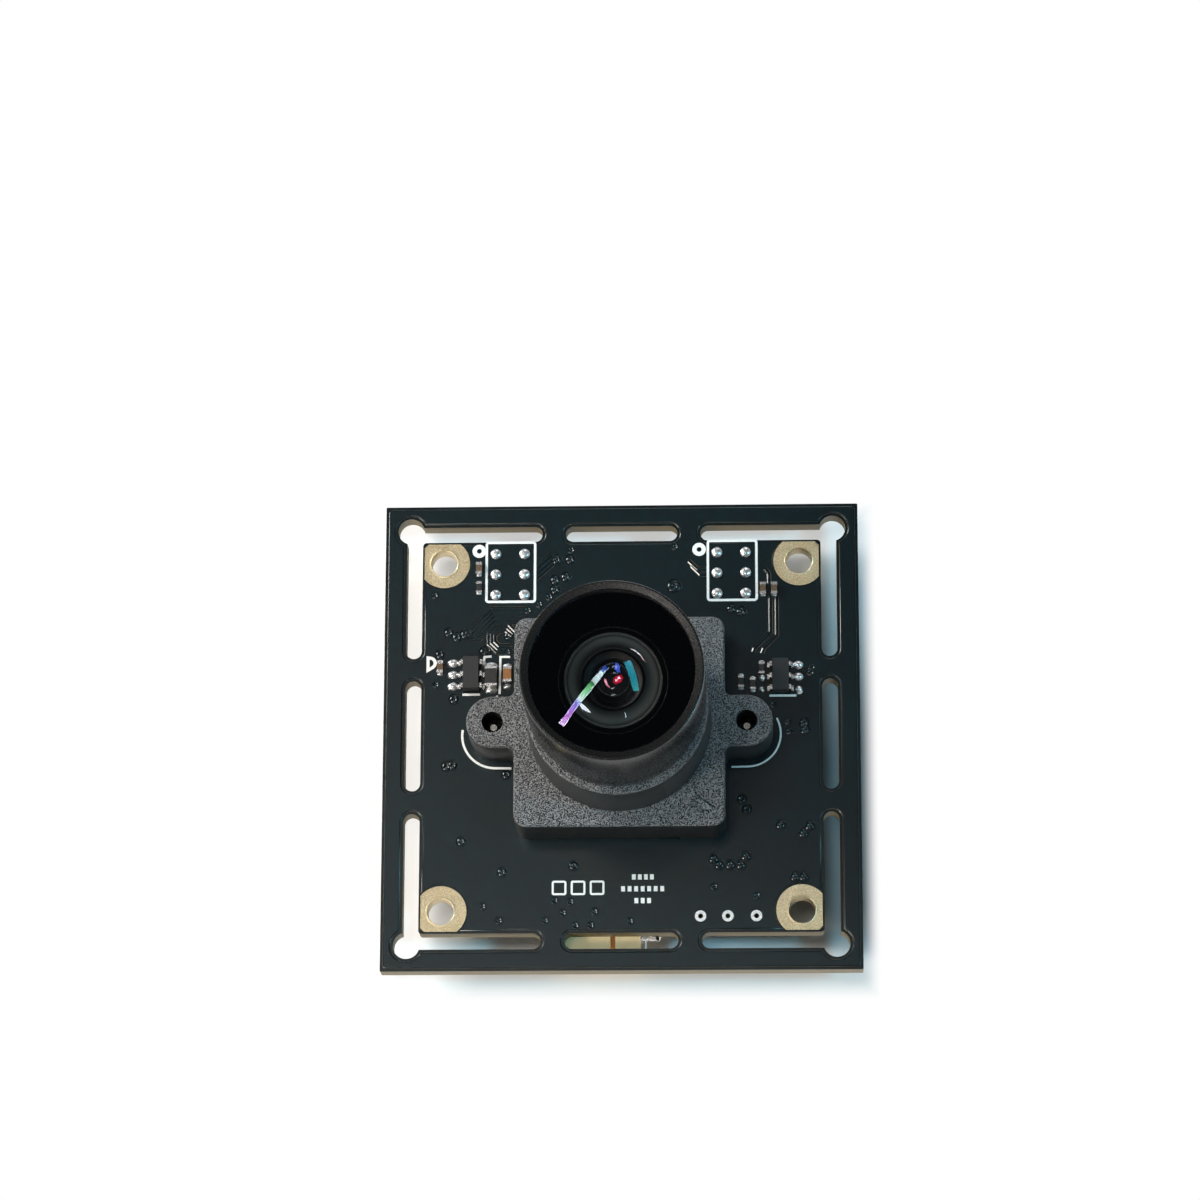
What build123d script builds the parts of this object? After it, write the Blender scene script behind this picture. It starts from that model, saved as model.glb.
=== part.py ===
# Camera module: a slotted square circuit board with an M12 lens in a moulded holder, the image sensor
# under it, small power parts beside it, and the processor, memory and plug socket on the rear face.
# Millimetres. The origin is the middle of the board's rear face, +Z runs out along the lens axis and
# +Y points to the board's top edge.

import os
from math import copysign, radians, tan

from build123d import *

os.makedirs("parts", exist_ok=True)

# Board
board_w = 38.0
board_t = 1.6
board_corner_r = 0.1
mount_pitch = 28.5
mount_hole_d = 2.2
mount_pad_d = 4.1
mount_pad_flat = 1.6
pad_t = 0.05
inner_w = 32.0
inner_corner_r = 0.3
slot_w = 1.27
middle_slot_l = 9.0
corner_arm_start = 6.35
corner_hole_pitch = 33.9
corner_hole_d = 2.1
test_hole_d = 0.4
test_ring_d = 0.9
test_row_y = -14.7
test_columns = (6.25, 8.4, 10.65)

# Empty six-pad footprints, with a mound of solder on each pad
solder_d = 0.88
solder_h = 0.25
solder_lean = 40.0
footprint_column_pitch = 2.3
footprint_row_pitch = 1.7
left_footprint = (-8.95, 13.3)
right_footprint = (8.83, 13.3)

# Lens holder
base_w = 16.6
base_l = 16.9
base_h = 4.65
base_corner_r = 1.0
base_edge = 0.12
ear_pitch = 20.0
ear_d = 4.15
ear_root_r = 0.5
ear_hole_d = 1.66
collar_d = 14.5
collar_h = 5.45
collar_draft = 1.5
collar_edge = 0.12
collar_lead_in = 0.5
base_wall = 1.5
cavity_h = 2.2
baffle_t = 1.2
baffle_window_w = 7.2
filter_w = 8.9
filter_t = 0.45
filter_gap = 0.05
vent_w = 1.7
vent_h = 0.25
vent_x = 3.8
mark_depth = 0.12
mark_line = 0.12
mark_corners = ((6.1, -5.95), (7.75, -7.15), (5.25, -7.45))

# M12 x 0.5 thread and lens barrel, heights above the board's front face
thread_d = 12.0
thread_gap = 0.04
barrel_rear = 4.9
head_rear = 13.3
head_front = 21.0
head_d = 14.0
head_edge = 0.15
head_wall = 0.55
lip_overhang = 0.15
lip_t = 0.3
glass_gap = 0.02
front_pocket_floor = 16.2
front_bore_d = 7.7
web_top = 13.0
web_t = 0.4
web_d = 4.6
rear_bore_d = 6.6

# Glass: clear diameters, and how far each face bulges out of its rim (hollow faces are negative)
front_bulge = 0.85
front_hollow = -2.3
front_hollow_d = 7.0
spacer_bore_d = 6.9
spacer_step = 0.25
second_rim_top = 14.5
second_bulge = 0.7
second_hollow = -0.8
third_rim_t = 1.4
third_clear_d = 4.4
third_front_bulge = 0.3
third_rear_bulge = 0.45
stop_ring_h = 1.4
stop_recess_d = 5.2
stop_blade_t = 0.12
stop_hole_d = 2.6
fourth_rim_t = 1.0
pair_clear_d = 5.2
fourth_bulge = 0.4
pair_curve = 0.45
cement_t = 0.01
fifth_rim_t = 0.95
fifth_hollow = -0.2
rear_spacer_h = 0.6
rear_spacer_bore_d = 5.6
sixth_clear_d = 5.0
sixth_front_bulge = 0.35
sixth_rear_bulge = 0.3
ring_h = 0.8
ring_recess = 0.1
ring_bore_d = 5.2
ring_notch_w = 0.8
ring_notch_depth = 0.4

# Image sensor
sensor_w = 8.0
sensor_h = 1.2
sensor_recess_x = 6.6
sensor_recess_y = 5.4
sensor_recess_depth = 0.6
die_x = 6.0
die_y = 4.6
die_t = 0.35
cover_x = 7.4
cover_y = 6.6
cover_t = 0.4

# Screws that hold the holder, driven from the rear
screw_d = 1.6
screw_length = 4.3
screw_tip_l = 0.5
screw_head_d = 3.0
screw_head_h = 1.0
screw_head_edge = 0.3
cross_w = 0.35
cross_l = 1.6
cross_depth = 0.5
screw_board_hole_d = 1.9

# Six-lead regulators on the front face, placed from the holder's side walls
regulator_x = 1.35
regulator_y = 2.72
regulator_h = 1.1
regulator_span = 2.1
regulator_lead_pitch = 0.96
regulator_lead_w = 0.38
regulator_lead_t = 0.12
regulator_foot = 0.16
left_regulator = (-3.69, 4.98)
right_regulator = (4.39, 4.64)

# Processor and memory on the rear face
processor_w = 7.0
processor_h = 1.4
processor_span = 9.0
processor_pins = 12
processor_pitch = 0.5
processor_lead_w = 0.22
processor_lead_t = 0.12
processor_foot = 0.55
processor_place = (0.0, 6.2)
flash_x = 3.9
flash_y = 4.9
flash_h = 1.5
flash_span = 6.0
flash_pitch = 1.27
flash_lead_w = 0.42
flash_lead_t = 0.2
flash_foot = 0.6
flash_place = (9.6, 8.6)
package_draft = 7.0
standoff = 0.08
pin_one_d = 0.7
pin_one_depth = 0.05
pin_one_inset = 0.9

# Chip parts: length, width, height and the length of each end cap. The power parts and the side ones
# are placed from the holder's side walls, two resistors from the middle of the socket's back wall, the
# others from the lens axis.
small_cap = (1.0, 0.5, 0.5, 0.25)
small_res = (0.92, 0.46, 0.33, 0.17)
large_cap = (1.25, 0.68, 0.7, 0.2)
inductor = (1.6, 0.97, 0.9, 0.2)
cap_wrap = 0.02
power_capacitor_place = (-0.8, 4.91)
power_inductor_place = (-2.1, 4.71)
side_capacitor_places = ((-6.2, 5.6),)
side_resistor_places = ((1.25, 4.25), (2.2, 4.05), (2.9, 5.35))
upper_capacitor_places = ((-11.45, 13.75), (11.35, 11.9), (12.25, 11.9))
upper_resistor_places = ((-11.45, 12.2),)
rear_capacitor_places = (
    (-8.4, 10.2),
    (-8.4, 8.6),
    (-8.4, 7.0),
    (6.3, 1.0),
    (7.8, 1.0),
    (-4.0, -9.6),
    (-2.4, -9.6),
)
rear_resistor_places = (
    (-6.6, -4.0),
    (-6.6, -5.6),
    (9.0, 4.0),
    (10.5, 4.0),
)
socket_resistor_places = ((3.3, 1.2), (4.9, 1.2))

# Crystal on the rear face
crystal_x = 3.2
crystal_y = 2.5
crystal_base_t = 0.45
crystal_lid_t = 0.3
crystal_lid_inset = 0.25
crystal_corner_r = 0.3
crystal_place = (-8.6, 3.4)

# Plug socket on the rear face, its mouth just inside the board's bottom edge
socket_x = -1.7
socket_w = 6.3
socket_depth = 4.4
socket_h = 3.3
socket_wall = 0.55
socket_floor = 0.7
socket_back = 1.1
socket_setback = 1.0
key_w = 0.9
key_pitch = 3.4
key_l = 1.6
slit_w = 0.4
slit_x = 0.97
slit_l = 3.0
contact_pitch = 1.25
contact_count = 4
contact_w = 0.35
contact_gap = 0.03
contact_tip_gap = 0.6
contact_tail = 1.0
tab_t = 0.3
tab_foot = 1.5
tab_l = 1.8
tab_h = 1.5
tab_inset = 0.95

front = Plane.XY.offset(board_t)
holder_top = board_t + base_h
collar_top = holder_top + collar_h
collar_top_r = collar_d / 2 - collar_h * tan(radians(collar_draft))
front_pocket_d = head_d - 2 * head_wall
lip_d = front_pocket_d - 2 * lip_overhang
half_mount = mount_pitch / 2
mount_corners = [(sx * half_mount, sy * half_mount) for sx in (-1, 1) for sy in (-1, 1)]
ear_places = [(-ear_pitch / 2, 0), (ear_pitch / 2, 0)]
mouth_y = -board_w / 2 + socket_setback
back_y = mouth_y + socket_depth


def seat_front(place):
    return Plane((place[0], place[1], board_t))


def seat_rear(place):
    return Plane((place[0], place[1], 0), x_dir=(1, 0, 0), z_dir=(0, 0, -1))


def beside_holder(place):
    return (place[0] + copysign(base_w / 2, place[0]), place[1])


def behind_socket(place):
    return (place[0] + socket_x, place[1] + back_y)


def finish(part, name):
    part.label = name
    export_step(part, f"parts/{name}.step")


# Circuit board with its break-off slots, mounting holes and screw holes
with BuildPart() as circuit_board:
    with BuildSketch() as outline:
        RectangleRounded(board_w, board_w, board_corner_r)
        slot_line = inner_w / 2 + slot_w / 2
        arm_end = slot_line + slot_w / 2
        arm_l = arm_end - corner_arm_start
        arm_middle = (arm_end + corner_arm_start) / 2
        with PolarLocations(slot_line, 4):
            SlotOverall(middle_slot_l, slot_w, rotation=90, mode=Mode.SUBTRACT)
            with Locations((0, arm_middle), (0, -arm_middle)):
                SlotOverall(arm_l, slot_w, rotation=90, mode=Mode.SUBTRACT)
        with GridLocations(corner_hole_pitch, corner_hole_pitch, 2, 2):
            Circle(corner_hole_d / 2, mode=Mode.SUBTRACT)
        inner_corners = outline.vertices().filter_by(
            lambda v: abs(abs(v.X) - inner_w / 2) < 0.001 and abs(abs(v.Y) - inner_w / 2) < 0.001
        )
        fillet(inner_corners, radius=inner_corner_r)
        with GridLocations(mount_pitch, mount_pitch, 2, 2):
            Circle(mount_hole_d / 2, mode=Mode.SUBTRACT)
        with Locations(*ear_places):
            Circle(screw_board_hole_d / 2, mode=Mode.SUBTRACT)
        with Locations(*[(x, test_row_y) for x in test_columns]):
            Circle(test_hole_d / 2, mode=Mode.SUBTRACT)
    extrude(amount=board_t)
finish(circuit_board.part, "circuit_board")


# Plated pads round the mounting holes, cut straight beside the slots
def mounting_pads(plane):
    with BuildPart() as pads:
        with BuildSketch(plane):
            for x, y in mount_corners:
                with Locations((x, y)):
                    Circle(mount_pad_d / 2)
            edge = 2 * (half_mount + mount_pad_flat)
            Rectangle(edge, edge, mode=Mode.INTERSECT)
            with Locations(*mount_corners):
                Circle(mount_hole_d / 2, mode=Mode.SUBTRACT)
        extrude(amount=pad_t)
    return pads.part


finish(mounting_pads(front), "front_mounting_pads")
finish(mounting_pads(seat_rear((0, 0))), "rear_mounting_pads")

with BuildPart() as test_point_rings:
    with BuildSketch(front):
        with Locations(*[(x, test_row_y) for x in test_columns]):
            Circle(test_ring_d / 2)
            Circle(test_hole_d / 2, mode=Mode.SUBTRACT)
    extrude(amount=pad_t)
finish(test_point_rings.part, "test_point_rings")


# Six mounds of solder on the pads of an empty footprint
def solder_mounds(place):
    with BuildPart() as mounds:
        with BuildSketch(seat_front(place)):
            with GridLocations(footprint_column_pitch, footprint_row_pitch, 2, 3):
                Circle(solder_d / 2)
        extrude(amount=solder_h, taper=solder_lean)
    return mounds.part


finish(solder_mounds(left_footprint), "left_footprint_solder")
finish(solder_mounds(right_footprint), "right_footprint_solder")

# Lens holder: one moulding with a square foot, two screw ears, a tapered collar and a filter seat
with BuildPart() as lens_holder:
    with BuildSketch(front) as foot:
        RectangleRounded(base_w, base_l, base_corner_r)
        with Locations(*ear_places):
            Circle(ear_d / 2)
        Rectangle(ear_pitch, ear_d)
        ear_roots = foot.vertices().filter_by(
            lambda v: abs(abs(v.X) - base_w / 2) < 0.001 and abs(abs(v.Y) - ear_d / 2) < 0.001
        )
        fillet(ear_roots, radius=ear_root_r)
    extrude(amount=base_h)
    chamfer(lens_holder.faces().sort_by(Axis.Z)[-1].outer_wire().edges(), length=base_edge)
    with BuildSketch(Plane.XZ):
        with BuildLine():
            Polyline(
                (0, board_t + cavity_h),
                (collar_d / 2, board_t + cavity_h),
                (collar_d / 2, holder_top),
                (collar_top_r, collar_top - collar_edge),
                (collar_top_r - collar_edge, collar_top),
                (0, collar_top),
                close=True,
            )
        make_face()
    revolve(axis=Axis.Z)
    baffle_top = board_t + cavity_h + baffle_t
    with BuildSketch(Plane.XY.offset(baffle_top)):
        Circle(thread_d / 2 + thread_gap / 2)
    extrude(amount=collar_top - baffle_top, mode=Mode.SUBTRACT)
    mouth = lens_holder.faces().sort_by(Axis.Z)[-1].inner_wires()[0].edges()
    chamfer(mouth, length=collar_lead_in)
    with BuildSketch(front):
        RectangleRounded(base_w - 2 * base_wall, base_l - 2 * base_wall, base_corner_r / 2)
    extrude(amount=cavity_h, mode=Mode.SUBTRACT)
    with BuildSketch(Plane.XY.offset(board_t + cavity_h)):
        Rectangle(filter_w + 2 * filter_gap, filter_w + 2 * filter_gap)
    extrude(amount=filter_t + filter_gap, mode=Mode.SUBTRACT)
    with BuildSketch(Plane.XY.offset(board_t + cavity_h)):
        Rectangle(baffle_window_w, baffle_window_w)
    extrude(amount=baffle_t, mode=Mode.SUBTRACT)
    with BuildSketch(front):
        with Locations(*ear_places):
            Circle(ear_hole_d / 2)
    extrude(amount=base_h, mode=Mode.SUBTRACT)
    with BuildSketch(front):
        with Locations((vent_x, -base_l / 2 + base_wall / 2)):
            Rectangle(vent_w, 2 * base_wall)
    extrude(amount=vent_h, mode=Mode.SUBTRACT)
    with BuildSketch(Plane.XY.offset(holder_top)):
        with BuildLine():
            Polyline(*mark_corners, close=True)
        make_face()
        offset(amount=-mark_line, mode=Mode.SUBTRACT)
    extrude(amount=-mark_depth, mode=Mode.SUBTRACT)
finish(lens_holder.part, "lens_holder")

# Infrared filter, glued into the seat under the holder's baffle
with BuildPart() as ir_cut_filter:
    with BuildSketch(Plane.XY.offset(board_t + cavity_h)):
        Rectangle(filter_w, filter_w)
    extrude(amount=filter_t)
finish(ir_cut_filter.part, "ir_cut_filter")

# Image sensor: a package with a recess, the die in it and a glass lid on it
with BuildPart() as image_sensor_package:
    with BuildSketch(front):
        Rectangle(sensor_w, sensor_w)
    extrude(amount=sensor_h)
    with BuildSketch(Plane.XY.offset(board_t + sensor_h)):
        Rectangle(sensor_recess_x, sensor_recess_y)
    extrude(amount=-sensor_recess_depth, mode=Mode.SUBTRACT)
finish(image_sensor_package.part, "image_sensor_package")

with BuildPart() as image_sensor_die:
    with BuildSketch(Plane.XY.offset(board_t + sensor_h - sensor_recess_depth)):
        Rectangle(die_x, die_y)
    extrude(amount=die_t)
finish(image_sensor_die.part, "image_sensor_die")

with BuildPart() as sensor_cover_glass:
    with BuildSketch(Plane.XY.offset(board_t + sensor_h)):
        Rectangle(cover_x, cover_y)
    extrude(amount=cover_t)
finish(sensor_cover_glass.part, "sensor_cover_glass")

# Screws for the holder, with a cross recess in the head and a pointed tip
with BuildPart() as screw:
    with BuildSketch(Plane.XZ):
        with BuildLine():
            Polyline(
                (0, 0),
                (screw_head_d / 2, 0),
                (screw_head_d / 2, -screw_head_h),
                (0, -screw_head_h),
                close=True,
            )
        make_face()
    revolve(axis=Axis.Z)
    chamfer(screw.faces().sort_by(Axis.Z)[0].edges(), length=screw_head_edge)
    with BuildSketch(Plane.XZ):
        with BuildLine():
            Polyline(
                (0, 0),
                (screw_d / 2, 0),
                (screw_d / 2, screw_length - screw_tip_l),
                (screw_d / 6, screw_length),
                (0, screw_length),
                close=True,
            )
        make_face()
    revolve(axis=Axis.Z)
    with BuildSketch(Plane.XY.offset(-screw_head_h)):
        Rectangle(cross_l, cross_w)
        Rectangle(cross_w, cross_l)
    extrude(amount=cross_depth, mode=Mode.SUBTRACT)

with BuildPart() as holder_screws:
    with Locations(*ear_places):
        add(screw.part)
finish(holder_screws.part, "holder_screws")

# Lens barrel: a wide head on an M12 thread, bored in steps from both ends to a thin web
with BuildPart() as lens_barrel:
    with BuildSketch(Plane.XZ):
        with BuildLine():
            Polyline(
                (rear_bore_d / 2, board_t + barrel_rear),
                (thread_d / 2 - thread_gap / 2, board_t + barrel_rear),
                (thread_d / 2 - thread_gap / 2, board_t + head_rear),
                (head_d / 2, board_t + head_rear),
                (head_d / 2, board_t + head_front),
                (lip_d / 2, board_t + head_front),
                (lip_d / 2, board_t + head_front - lip_t),
                (front_pocket_d / 2, board_t + head_front - lip_t),
                (front_pocket_d / 2, board_t + front_pocket_floor),
                (front_bore_d / 2, board_t + front_pocket_floor),
                (front_bore_d / 2, board_t + web_top),
                (web_d / 2, board_t + web_top),
                (web_d / 2, board_t + web_top - web_t),
                (rear_bore_d / 2, board_t + web_top - web_t),
                close=True,
            )
        make_face()
    revolve(axis=Axis.Z)
    head_edges = lens_barrel.edges().filter_by(
        lambda e: e.geom_type == GeomType.CIRCLE and abs(e.radius - head_d / 2) < 0.001
    )
    chamfer(head_edges, length=head_edge)
    chamfer(lens_barrel.faces().sort_by(Axis.Z)[0].outer_wire().edges(), length=head_edge)
finish(lens_barrel.part, "lens_barrel")


# A turned glass element: each face is a sphere's cap inside a flat rim
def glass_element(edge_d, rim_top, rim_bottom, top_clear_d, top_bulge, bottom_clear_d, bottom_bulge):
    top = board_t + rim_top
    bottom = board_t + rim_bottom
    with BuildPart() as element:
        with BuildSketch(Plane.XZ):
            with BuildLine():
                TangentArc((0, top + top_bulge), (top_clear_d / 2, top), tangent=(1, 0))
                Polyline(
                    (top_clear_d / 2, top),
                    (edge_d / 2, top),
                    (edge_d / 2, bottom),
                    (bottom_clear_d / 2, bottom),
                )
                TangentArc((0, bottom - bottom_bulge), (bottom_clear_d / 2, bottom), tangent=(1, 0))
                Line((0, bottom - bottom_bulge), (0, top + top_bulge))
            make_face()
        revolve(axis=Axis.Z)
    return element.part


# A turned ring with a stepped or plain bore, given as a list of (bore diameter, height) from the top down
def turned_ring(outer_d, top, steps):
    with BuildPart() as ring:
        level = board_t + top
        for bore_d, height in steps:
            with BuildSketch(Plane.XY.offset(level - height)):
                Circle(outer_d / 2)
                Circle(bore_d / 2, mode=Mode.SUBTRACT)
            extrude(amount=height)
            level -= height
    return ring.part


rear_glass_d = rear_bore_d - 2 * glass_gap
front_glass_d = front_bore_d - 2 * glass_gap
third_top = web_top - web_t
third_bottom = third_top - third_rim_t
fourth_top = third_bottom - stop_ring_h
fourth_bottom = fourth_top - fourth_rim_t
fifth_top = fourth_bottom - cement_t
fifth_bottom = fifth_top - fifth_rim_t
sixth_top = fifth_bottom - rear_spacer_h
sixth_bottom = barrel_rear + ring_recess + ring_h
spacer_h = front_pocket_floor - second_rim_top
second_clear_d = spacer_bore_d - 2 * spacer_step - 2 * glass_gap
stop_half = (stop_ring_h - stop_blade_t) / 2

front_element = glass_element(
    front_pocket_d - 2 * glass_gap,
    head_front - lip_t,
    front_pocket_floor,
    lip_d - 2 * glass_gap,
    front_bulge,
    front_hollow_d,
    front_hollow,
)
finish(front_element, "front_element")
second_element = glass_element(
    front_glass_d, second_rim_top, web_top, second_clear_d, second_bulge, second_clear_d, second_hollow
)
finish(second_element, "second_element")
third_element = glass_element(
    rear_glass_d, third_top, third_bottom, third_clear_d, third_front_bulge, third_clear_d, third_rear_bulge
)
finish(third_element, "third_element")
fourth_element = glass_element(
    rear_glass_d, fourth_top, fourth_bottom, pair_clear_d, fourth_bulge, pair_clear_d, pair_curve
)
finish(fourth_element, "fourth_element")
fifth_element = glass_element(
    rear_glass_d, fifth_top, fifth_bottom, pair_clear_d, -pair_curve, pair_clear_d, fifth_hollow
)
finish(fifth_element, "fifth_element")
sixth_element = glass_element(
    rear_glass_d, sixth_top, sixth_bottom, sixth_clear_d, sixth_front_bulge, sixth_clear_d, sixth_rear_bulge
)
finish(sixth_element, "sixth_element")

third_of_spacer = spacer_h / 3
front_spacer_ring = turned_ring(
    front_glass_d,
    front_pocket_floor,
    [
        (spacer_bore_d, third_of_spacer),
        (spacer_bore_d - spacer_step, third_of_spacer),
        (spacer_bore_d - 2 * spacer_step, third_of_spacer),
    ],
)
finish(front_spacer_ring, "front_spacer_ring")
aperture_stop = turned_ring(
    rear_glass_d,
    third_bottom,
    [(stop_recess_d, stop_half), (stop_hole_d, stop_blade_t), (stop_recess_d, stop_half)],
)
finish(aperture_stop, "aperture_stop")
rear_spacer_ring = turned_ring(rear_glass_d, fifth_bottom, [(rear_spacer_bore_d, rear_spacer_h)])
finish(rear_spacer_ring, "rear_spacer_ring")

# Rear retaining ring, with two notches for a spanner
with BuildPart() as rear_retaining_ring:
    with BuildSketch(Plane.XY.offset(board_t + barrel_rear + ring_recess)):
        Circle(rear_glass_d / 2)
        Circle(ring_bore_d / 2, mode=Mode.SUBTRACT)
    extrude(amount=ring_h)
    with BuildSketch(Plane.XY.offset(board_t + barrel_rear + ring_recess)):
        Rectangle(rear_bore_d, ring_notch_w)
    extrude(amount=ring_notch_depth, mode=Mode.SUBTRACT)
finish(rear_retaining_ring.part, "rear_retaining_ring")


def lead_line_of(height):
    return standoff + (height - standoff) / 2


# A moulded package: its sides lean in above and below the line where the leads leave it
def moulded_body(seat, size_x, size_y, height, marked):
    lead_line = lead_line_of(height)
    with BuildPart() as body:
        with BuildSketch(seat.offset(lead_line)):
            Rectangle(size_x, size_y)
        extrude(amount=height - lead_line, taper=package_draft)
        with BuildSketch(seat.offset(lead_line)):
            Rectangle(size_x, size_y)
        extrude(amount=standoff - lead_line, taper=package_draft)
        if marked:
            with BuildSketch(seat.offset(height)):
                with Locations((pin_one_inset - size_x / 2, size_y / 2 - pin_one_inset)):
                    Circle(pin_one_d / 2)
            extrude(amount=-pin_one_depth, mode=Mode.SUBTRACT)
    return body.part


# One gull-wing lead that points along +X, its foot on the board
def gull_lead(body_half, span_half, lead_line, foot_l, lead_w, lead_t):
    heel = span_half - foot_l
    lean = (heel - lead_t - body_half) / 3
    with BuildPart() as lead:
        with BuildSketch(Plane.XZ):
            with BuildLine():
                Polyline(
                    (body_half, lead_line + lead_t / 2),
                    (heel - lean, lead_line + lead_t / 2),
                    (heel, lead_t),
                    (span_half, lead_t),
                    (span_half, 0),
                    (heel - lead_t, 0),
                    (heel - lead_t - lean, lead_line - lead_t / 2),
                    (body_half, lead_line - lead_t / 2),
                    close=True,
                )
            make_face()
        extrude(amount=lead_w / 2, both=True)
    return lead.part


# Rows of leads on two or four sides of a package
def lead_rows(seat, sides, count, pitch, lead):
    with BuildPart(seat) as leads:
        with PolarLocations(0, sides):
            with GridLocations(pitch, pitch, 1, count):
                add(lead)
    return leads.part


regulator_lead = gull_lead(
    regulator_x / 2,
    regulator_span / 2,
    lead_line_of(regulator_h),
    regulator_foot,
    regulator_lead_w,
    regulator_lead_t,
)
for name, place in (("left_regulator", left_regulator), ("right_regulator", right_regulator)):
    seat = seat_front(beside_holder(place))
    finish(moulded_body(seat, regulator_x, regulator_y, regulator_h, False), f"{name}_body")
    finish(lead_rows(seat, 2, 3, regulator_lead_pitch, regulator_lead), f"{name}_leads")

processor_lead = gull_lead(
    processor_w / 2,
    processor_span / 2,
    lead_line_of(processor_h),
    processor_foot,
    processor_lead_w,
    processor_lead_t,
)
processor_seat = seat_rear(processor_place)
finish(moulded_body(processor_seat, processor_w, processor_w, processor_h, True), "processor_body")
finish(lead_rows(processor_seat, 4, processor_pins, processor_pitch, processor_lead), "processor_leads")

flash_lead = gull_lead(
    flash_x / 2, flash_span / 2, lead_line_of(flash_h), flash_foot, flash_lead_w, flash_lead_t
)
flash_seat = seat_rear(flash_place)
finish(moulded_body(flash_seat, flash_x, flash_y, flash_h, True), "flash_memory_body")
finish(lead_rows(flash_seat, 2, 4, flash_pitch, flash_lead), "flash_memory_leads")


# Chip parts stand along Y: a body between two end caps that wrap it
def chip_bodies(seat_of, places, size):
    length, width, height, cap_l = size
    with BuildPart() as bodies:
        for place in places:
            with BuildSketch(seat_of(place)):
                Rectangle(width - 2 * cap_wrap, length - 2 * cap_l)
            extrude(amount=height - cap_wrap)
    return bodies.part


def chip_caps(seat_of, places, size):
    length, width, height, cap_l = size
    with BuildPart() as caps:
        for place in places:
            with BuildSketch(seat_of(place)):
                with GridLocations(width, length - cap_l, 1, 2):
                    Rectangle(width, cap_l)
            extrude(amount=height)
    return caps.part


front_capacitor_places = [*map(beside_holder, side_capacitor_places), *upper_capacitor_places]
front_resistor_places = [*map(beside_holder, side_resistor_places), *upper_resistor_places]
all_rear_resistor_places = [*map(behind_socket, socket_resistor_places), *rear_resistor_places]
chip_groups = (
    ("power_capacitor", seat_front, [beside_holder(power_capacitor_place)], large_cap),
    ("power_inductor", seat_front, [beside_holder(power_inductor_place)], inductor),
    ("front_capacitor", seat_front, front_capacitor_places, small_cap),
    ("front_resistor", seat_front, front_resistor_places, small_res),
    ("rear_capacitor", seat_rear, rear_capacitor_places, small_cap),
    ("rear_resistor", seat_rear, all_rear_resistor_places, small_res),
)
for name, seat_of, places, size in chip_groups:
    finish(chip_bodies(seat_of, places, size), f"{name}_bodies")
    finish(chip_caps(seat_of, places, size), f"{name}_end_caps")

# Crystal: a ceramic base with a metal lid
crystal_seat = seat_rear(crystal_place)
with BuildPart() as crystal_base:
    with BuildSketch(crystal_seat):
        RectangleRounded(crystal_x, crystal_y, crystal_corner_r)
    extrude(amount=crystal_base_t)
finish(crystal_base.part, "crystal_base")

with BuildPart() as crystal_lid:
    with BuildSketch(crystal_seat.offset(crystal_base_t)):
        RectangleRounded(crystal_x - crystal_lid_inset, crystal_y - crystal_lid_inset, crystal_corner_r)
    extrude(amount=crystal_lid_t)
finish(crystal_lid.part, "crystal_lid")

# Plug socket: a box with its mouth toward the board's bottom edge, keyed on its far wall
socket_seat = seat_rear((socket_x, mouth_y + socket_depth / 2))
cavity_w = socket_w - 2 * socket_wall
cavity_high = socket_h - socket_floor - socket_wall
cavity_deep = socket_depth - socket_back
pin_z = -socket_floor - cavity_high / 2
with BuildPart() as socket_housing:
    with BuildSketch(socket_seat):
        Rectangle(socket_w, socket_depth)
    extrude(amount=socket_h)
    mouth_seat = Plane((socket_x, mouth_y, pin_z), x_dir=(1, 0, 0), z_dir=(0, -1, 0))
    with BuildSketch(mouth_seat):
        Rectangle(cavity_w, cavity_high)
    extrude(amount=-cavity_deep, mode=Mode.SUBTRACT)
    with BuildSketch(mouth_seat):
        with GridLocations(contact_pitch, contact_pitch, contact_count, 1):
            Rectangle(contact_w + 2 * contact_gap, contact_w + 2 * contact_gap)
    extrude(amount=-socket_depth, mode=Mode.SUBTRACT)
    with BuildSketch(Plane((socket_x, mouth_y + key_l / 2, -socket_h))):
        with Locations((-key_pitch / 2, 0), (key_pitch / 2, 0)):
            Rectangle(key_w, key_l)
    extrude(amount=socket_wall, mode=Mode.SUBTRACT)
    with BuildSketch(Plane((socket_x + slit_x, mouth_y + slit_l / 2, -socket_floor))):
        Rectangle(slit_w, slit_l)
    extrude(amount=socket_floor, mode=Mode.SUBTRACT)
finish(socket_housing.part, "socket_housing")

# Contacts: a square pin through the back wall, bent outside it to a foot on the board
with BuildPart() as socket_contacts:
    for i in range(contact_count):
        pin_x = socket_x + (i - (contact_count - 1) / 2) * contact_pitch
        with BuildSketch(Plane.YZ.offset(pin_x)):
            with BuildLine():
                Polyline(
                    (mouth_y + contact_tip_gap, pin_z - contact_w / 2),
                    (mouth_y + contact_tip_gap, pin_z + contact_w / 2),
                    (back_y + contact_w, pin_z + contact_w / 2),
                    (back_y + contact_w, -contact_w),
                )
                Polyline(
                    (back_y + contact_w, -contact_w),
                    (back_y + contact_w, 0),
                    (back_y + contact_w + contact_tail, 0),
                    (back_y + contact_w + contact_tail, -contact_w),
                    (back_y + 2 * contact_w, -contact_w),
                    (back_y + 2 * contact_w, pin_z - contact_w / 2),
                    (mouth_y + contact_tip_gap, pin_z - contact_w / 2),
                )
            make_face()
        extrude(amount=contact_w / 2, both=True)
finish(socket_contacts.part, "socket_contacts")

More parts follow.
